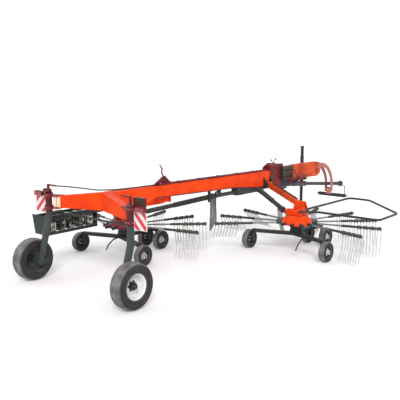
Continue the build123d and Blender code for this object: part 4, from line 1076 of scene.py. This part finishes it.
# Rack with stowed arms: a green-black frame beside the rear head, with a full sheet on its outer
# side and narrow ones on its inner side. The nine arms taken off lie in it along the machine,
# with their coils and tines, whose ends are drawn short so that they stay inside.
RACK_X = (-1.66, -1.29)
RACK_Y = (0.34, 1.54)
RACK_FOOT = 0.74
STOWED = 9
COLUMNS = 3
ROW_PITCH = 0.105
STOWED_REACH = 1.19
STOWED_PAIRS = (0.1, 0.32, 0.54, 0.76, 0.98)
RACK_GREEN = ((0.018, 0.03, 0.026), (0.009, 0.015, 0.013))
STOWED_WIRE = ((0.045, 0.055, 0.05), (0.62, 0.62, 0.58))
ALONG_Y = np.array(((0.0, 1.0, 0.0), (1.0, 0.0, 0.0), (0.0, 0.0, 1.0)))
green_black = paint("rack_paint", *RACK_GREEN, roughness=0.45)
finish_nodes(green_black, "tine_rack")
inners, carriers, tines = [], [], []
pitch = (RACK_X[1] - RACK_X[0] - 0.08) / COLUMNS
inner = turned([(0.008, INNER_R), (0.2, INNER_R)], (0, 0, 0), sides=14)
profile = [(0.18, CARRIER_R), (STOWED_REACH - 0.01, CARRIER_R), (STOWED_REACH, 0.018)]
carrier = turned(profile, (0, 0, 0), sides=14)
for i in range(STOWED):
    column = i % COLUMNS
    x = RACK_X[0] + 0.04 + pitch * (column + 0.5)
    z = RACK_FOOT + 0.078 + (i // COLUMNS) * ROW_PITCH
    wires = []
    for back in STOWED_PAIRS:
        for side in (-1, 1):
            points, faces = tine(STOWED_REACH - back - 0.02 * column, side)
            low = points[:, 2] < -0.05
            points[low, 2] = -0.05 + (points[low, 2] + 0.05) * (z - 0.81) / 0.49
            swing = math.radians(12.0 * (column - 1) + 9.0 * side)
            wires += placed([(points, faces)], turn_about_x(swing))
    move = np.array((x, RACK_Y[0], z))
    inners += placed([inner], ALONG_Y, move)
    carriers += placed([carrier], ALONG_Y, move)
    tines += placed(wires, ALONG_Y, move)
piece("stowed_tubes", inners, steel, "rear_head", ["stowed_arms"])
piece("stowed_carriers", carriers, olive, "rear_head")
dull_wire = Finish("stowed_wire", Roughness=0.5)
dull_wire.colour(dull_wire.noise(7.0).rise(0.42, 0.58), *STOWED_WIRE)
piece("stowed_tines", tines, dull_wire, "rear_head", crease=60.0)
outer = (RACK_X[0] + 0.002, RACK_X[0] + 0.008)
near = (RACK_X[1] - 0.008, RACK_X[1] - 0.002)
sheets = ((outer, (0.742, 1.098)), (near, (0.742, 0.8)), (near, (1.06, 1.098)))
panels = [box(x, RACK_Y, z) for x, z in sheets]
piece("rack_sides", panels, green_black, "rear_head", bevel=0.002)


# Swath curtain: one width of coated cloth that hangs from the rail below the beam, gathered
# into slanting folds that deepen towards the lower edge.
NEAR = np.array((-0.075, 3.555))
FAR = np.array((-0.7, 4.55))
CLOTH_Z = (0.452, 1.104)
CLOTH = ((0.1, 0.102, 0.105), (0.36, 0.36, 0.36))
FOLD = 0.01
FOLDS = 14.0  # along the rail; every third one is deep
FOLD_LEAN = 3.2
cloth = Finish("curtain_cloth", Roughness=0.85)
shade = cloth.noise(5.0, 4.0, stretch=(1.0, 1.0, 0.35))
cloth.colour(shade.rise(0.35, 0.65), *CLOTH)
cloth.bump(cloth.noise(900.0, 1.0), 0.0003)
along = np.linspace(0.0, 1.0, 90)[None, :]
down = np.linspace(0.0, 1.0, 56)[:, None]
run = unit(FAR - NEAR)
side = np.array((-run[1], run[0]))
turns = 2 * np.pi * (FOLDS * along - FOLD_LEAN * down)
wave = FOLD * (0.15 + 0.85 * down) * np.sin(turns / 3.0) + 0.004 * down * np.sin(turns)
spread = NEAR + (FAR - NEAR) * along[..., None] + side * wave[..., None]
height = CLOTH_Z[1] - (CLOTH_Z[1] - CLOTH_Z[0]) * down + 0.006 * down * np.cos(turns / 3.0)
points = np.concatenate((spread, height[..., None]), axis=-1)
points, faces = grid(points, rings=False)
curtain_mesh = bpy.data.meshes.new("curtain")
curtain_mesh.from_pydata((points + ORIGIN).tolist(), [], faces)
curtain_mesh.shade_smooth()
curtain_mesh.materials.append(cloth.material)
curtain = added("curtain", curtain_mesh)
thick = curtain.modifiers.new("cloth", "SOLIDIFY")
thick.thickness = 0.002
thick.offset = 0.0
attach(curtain, "frame")
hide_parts("swath_curtain")
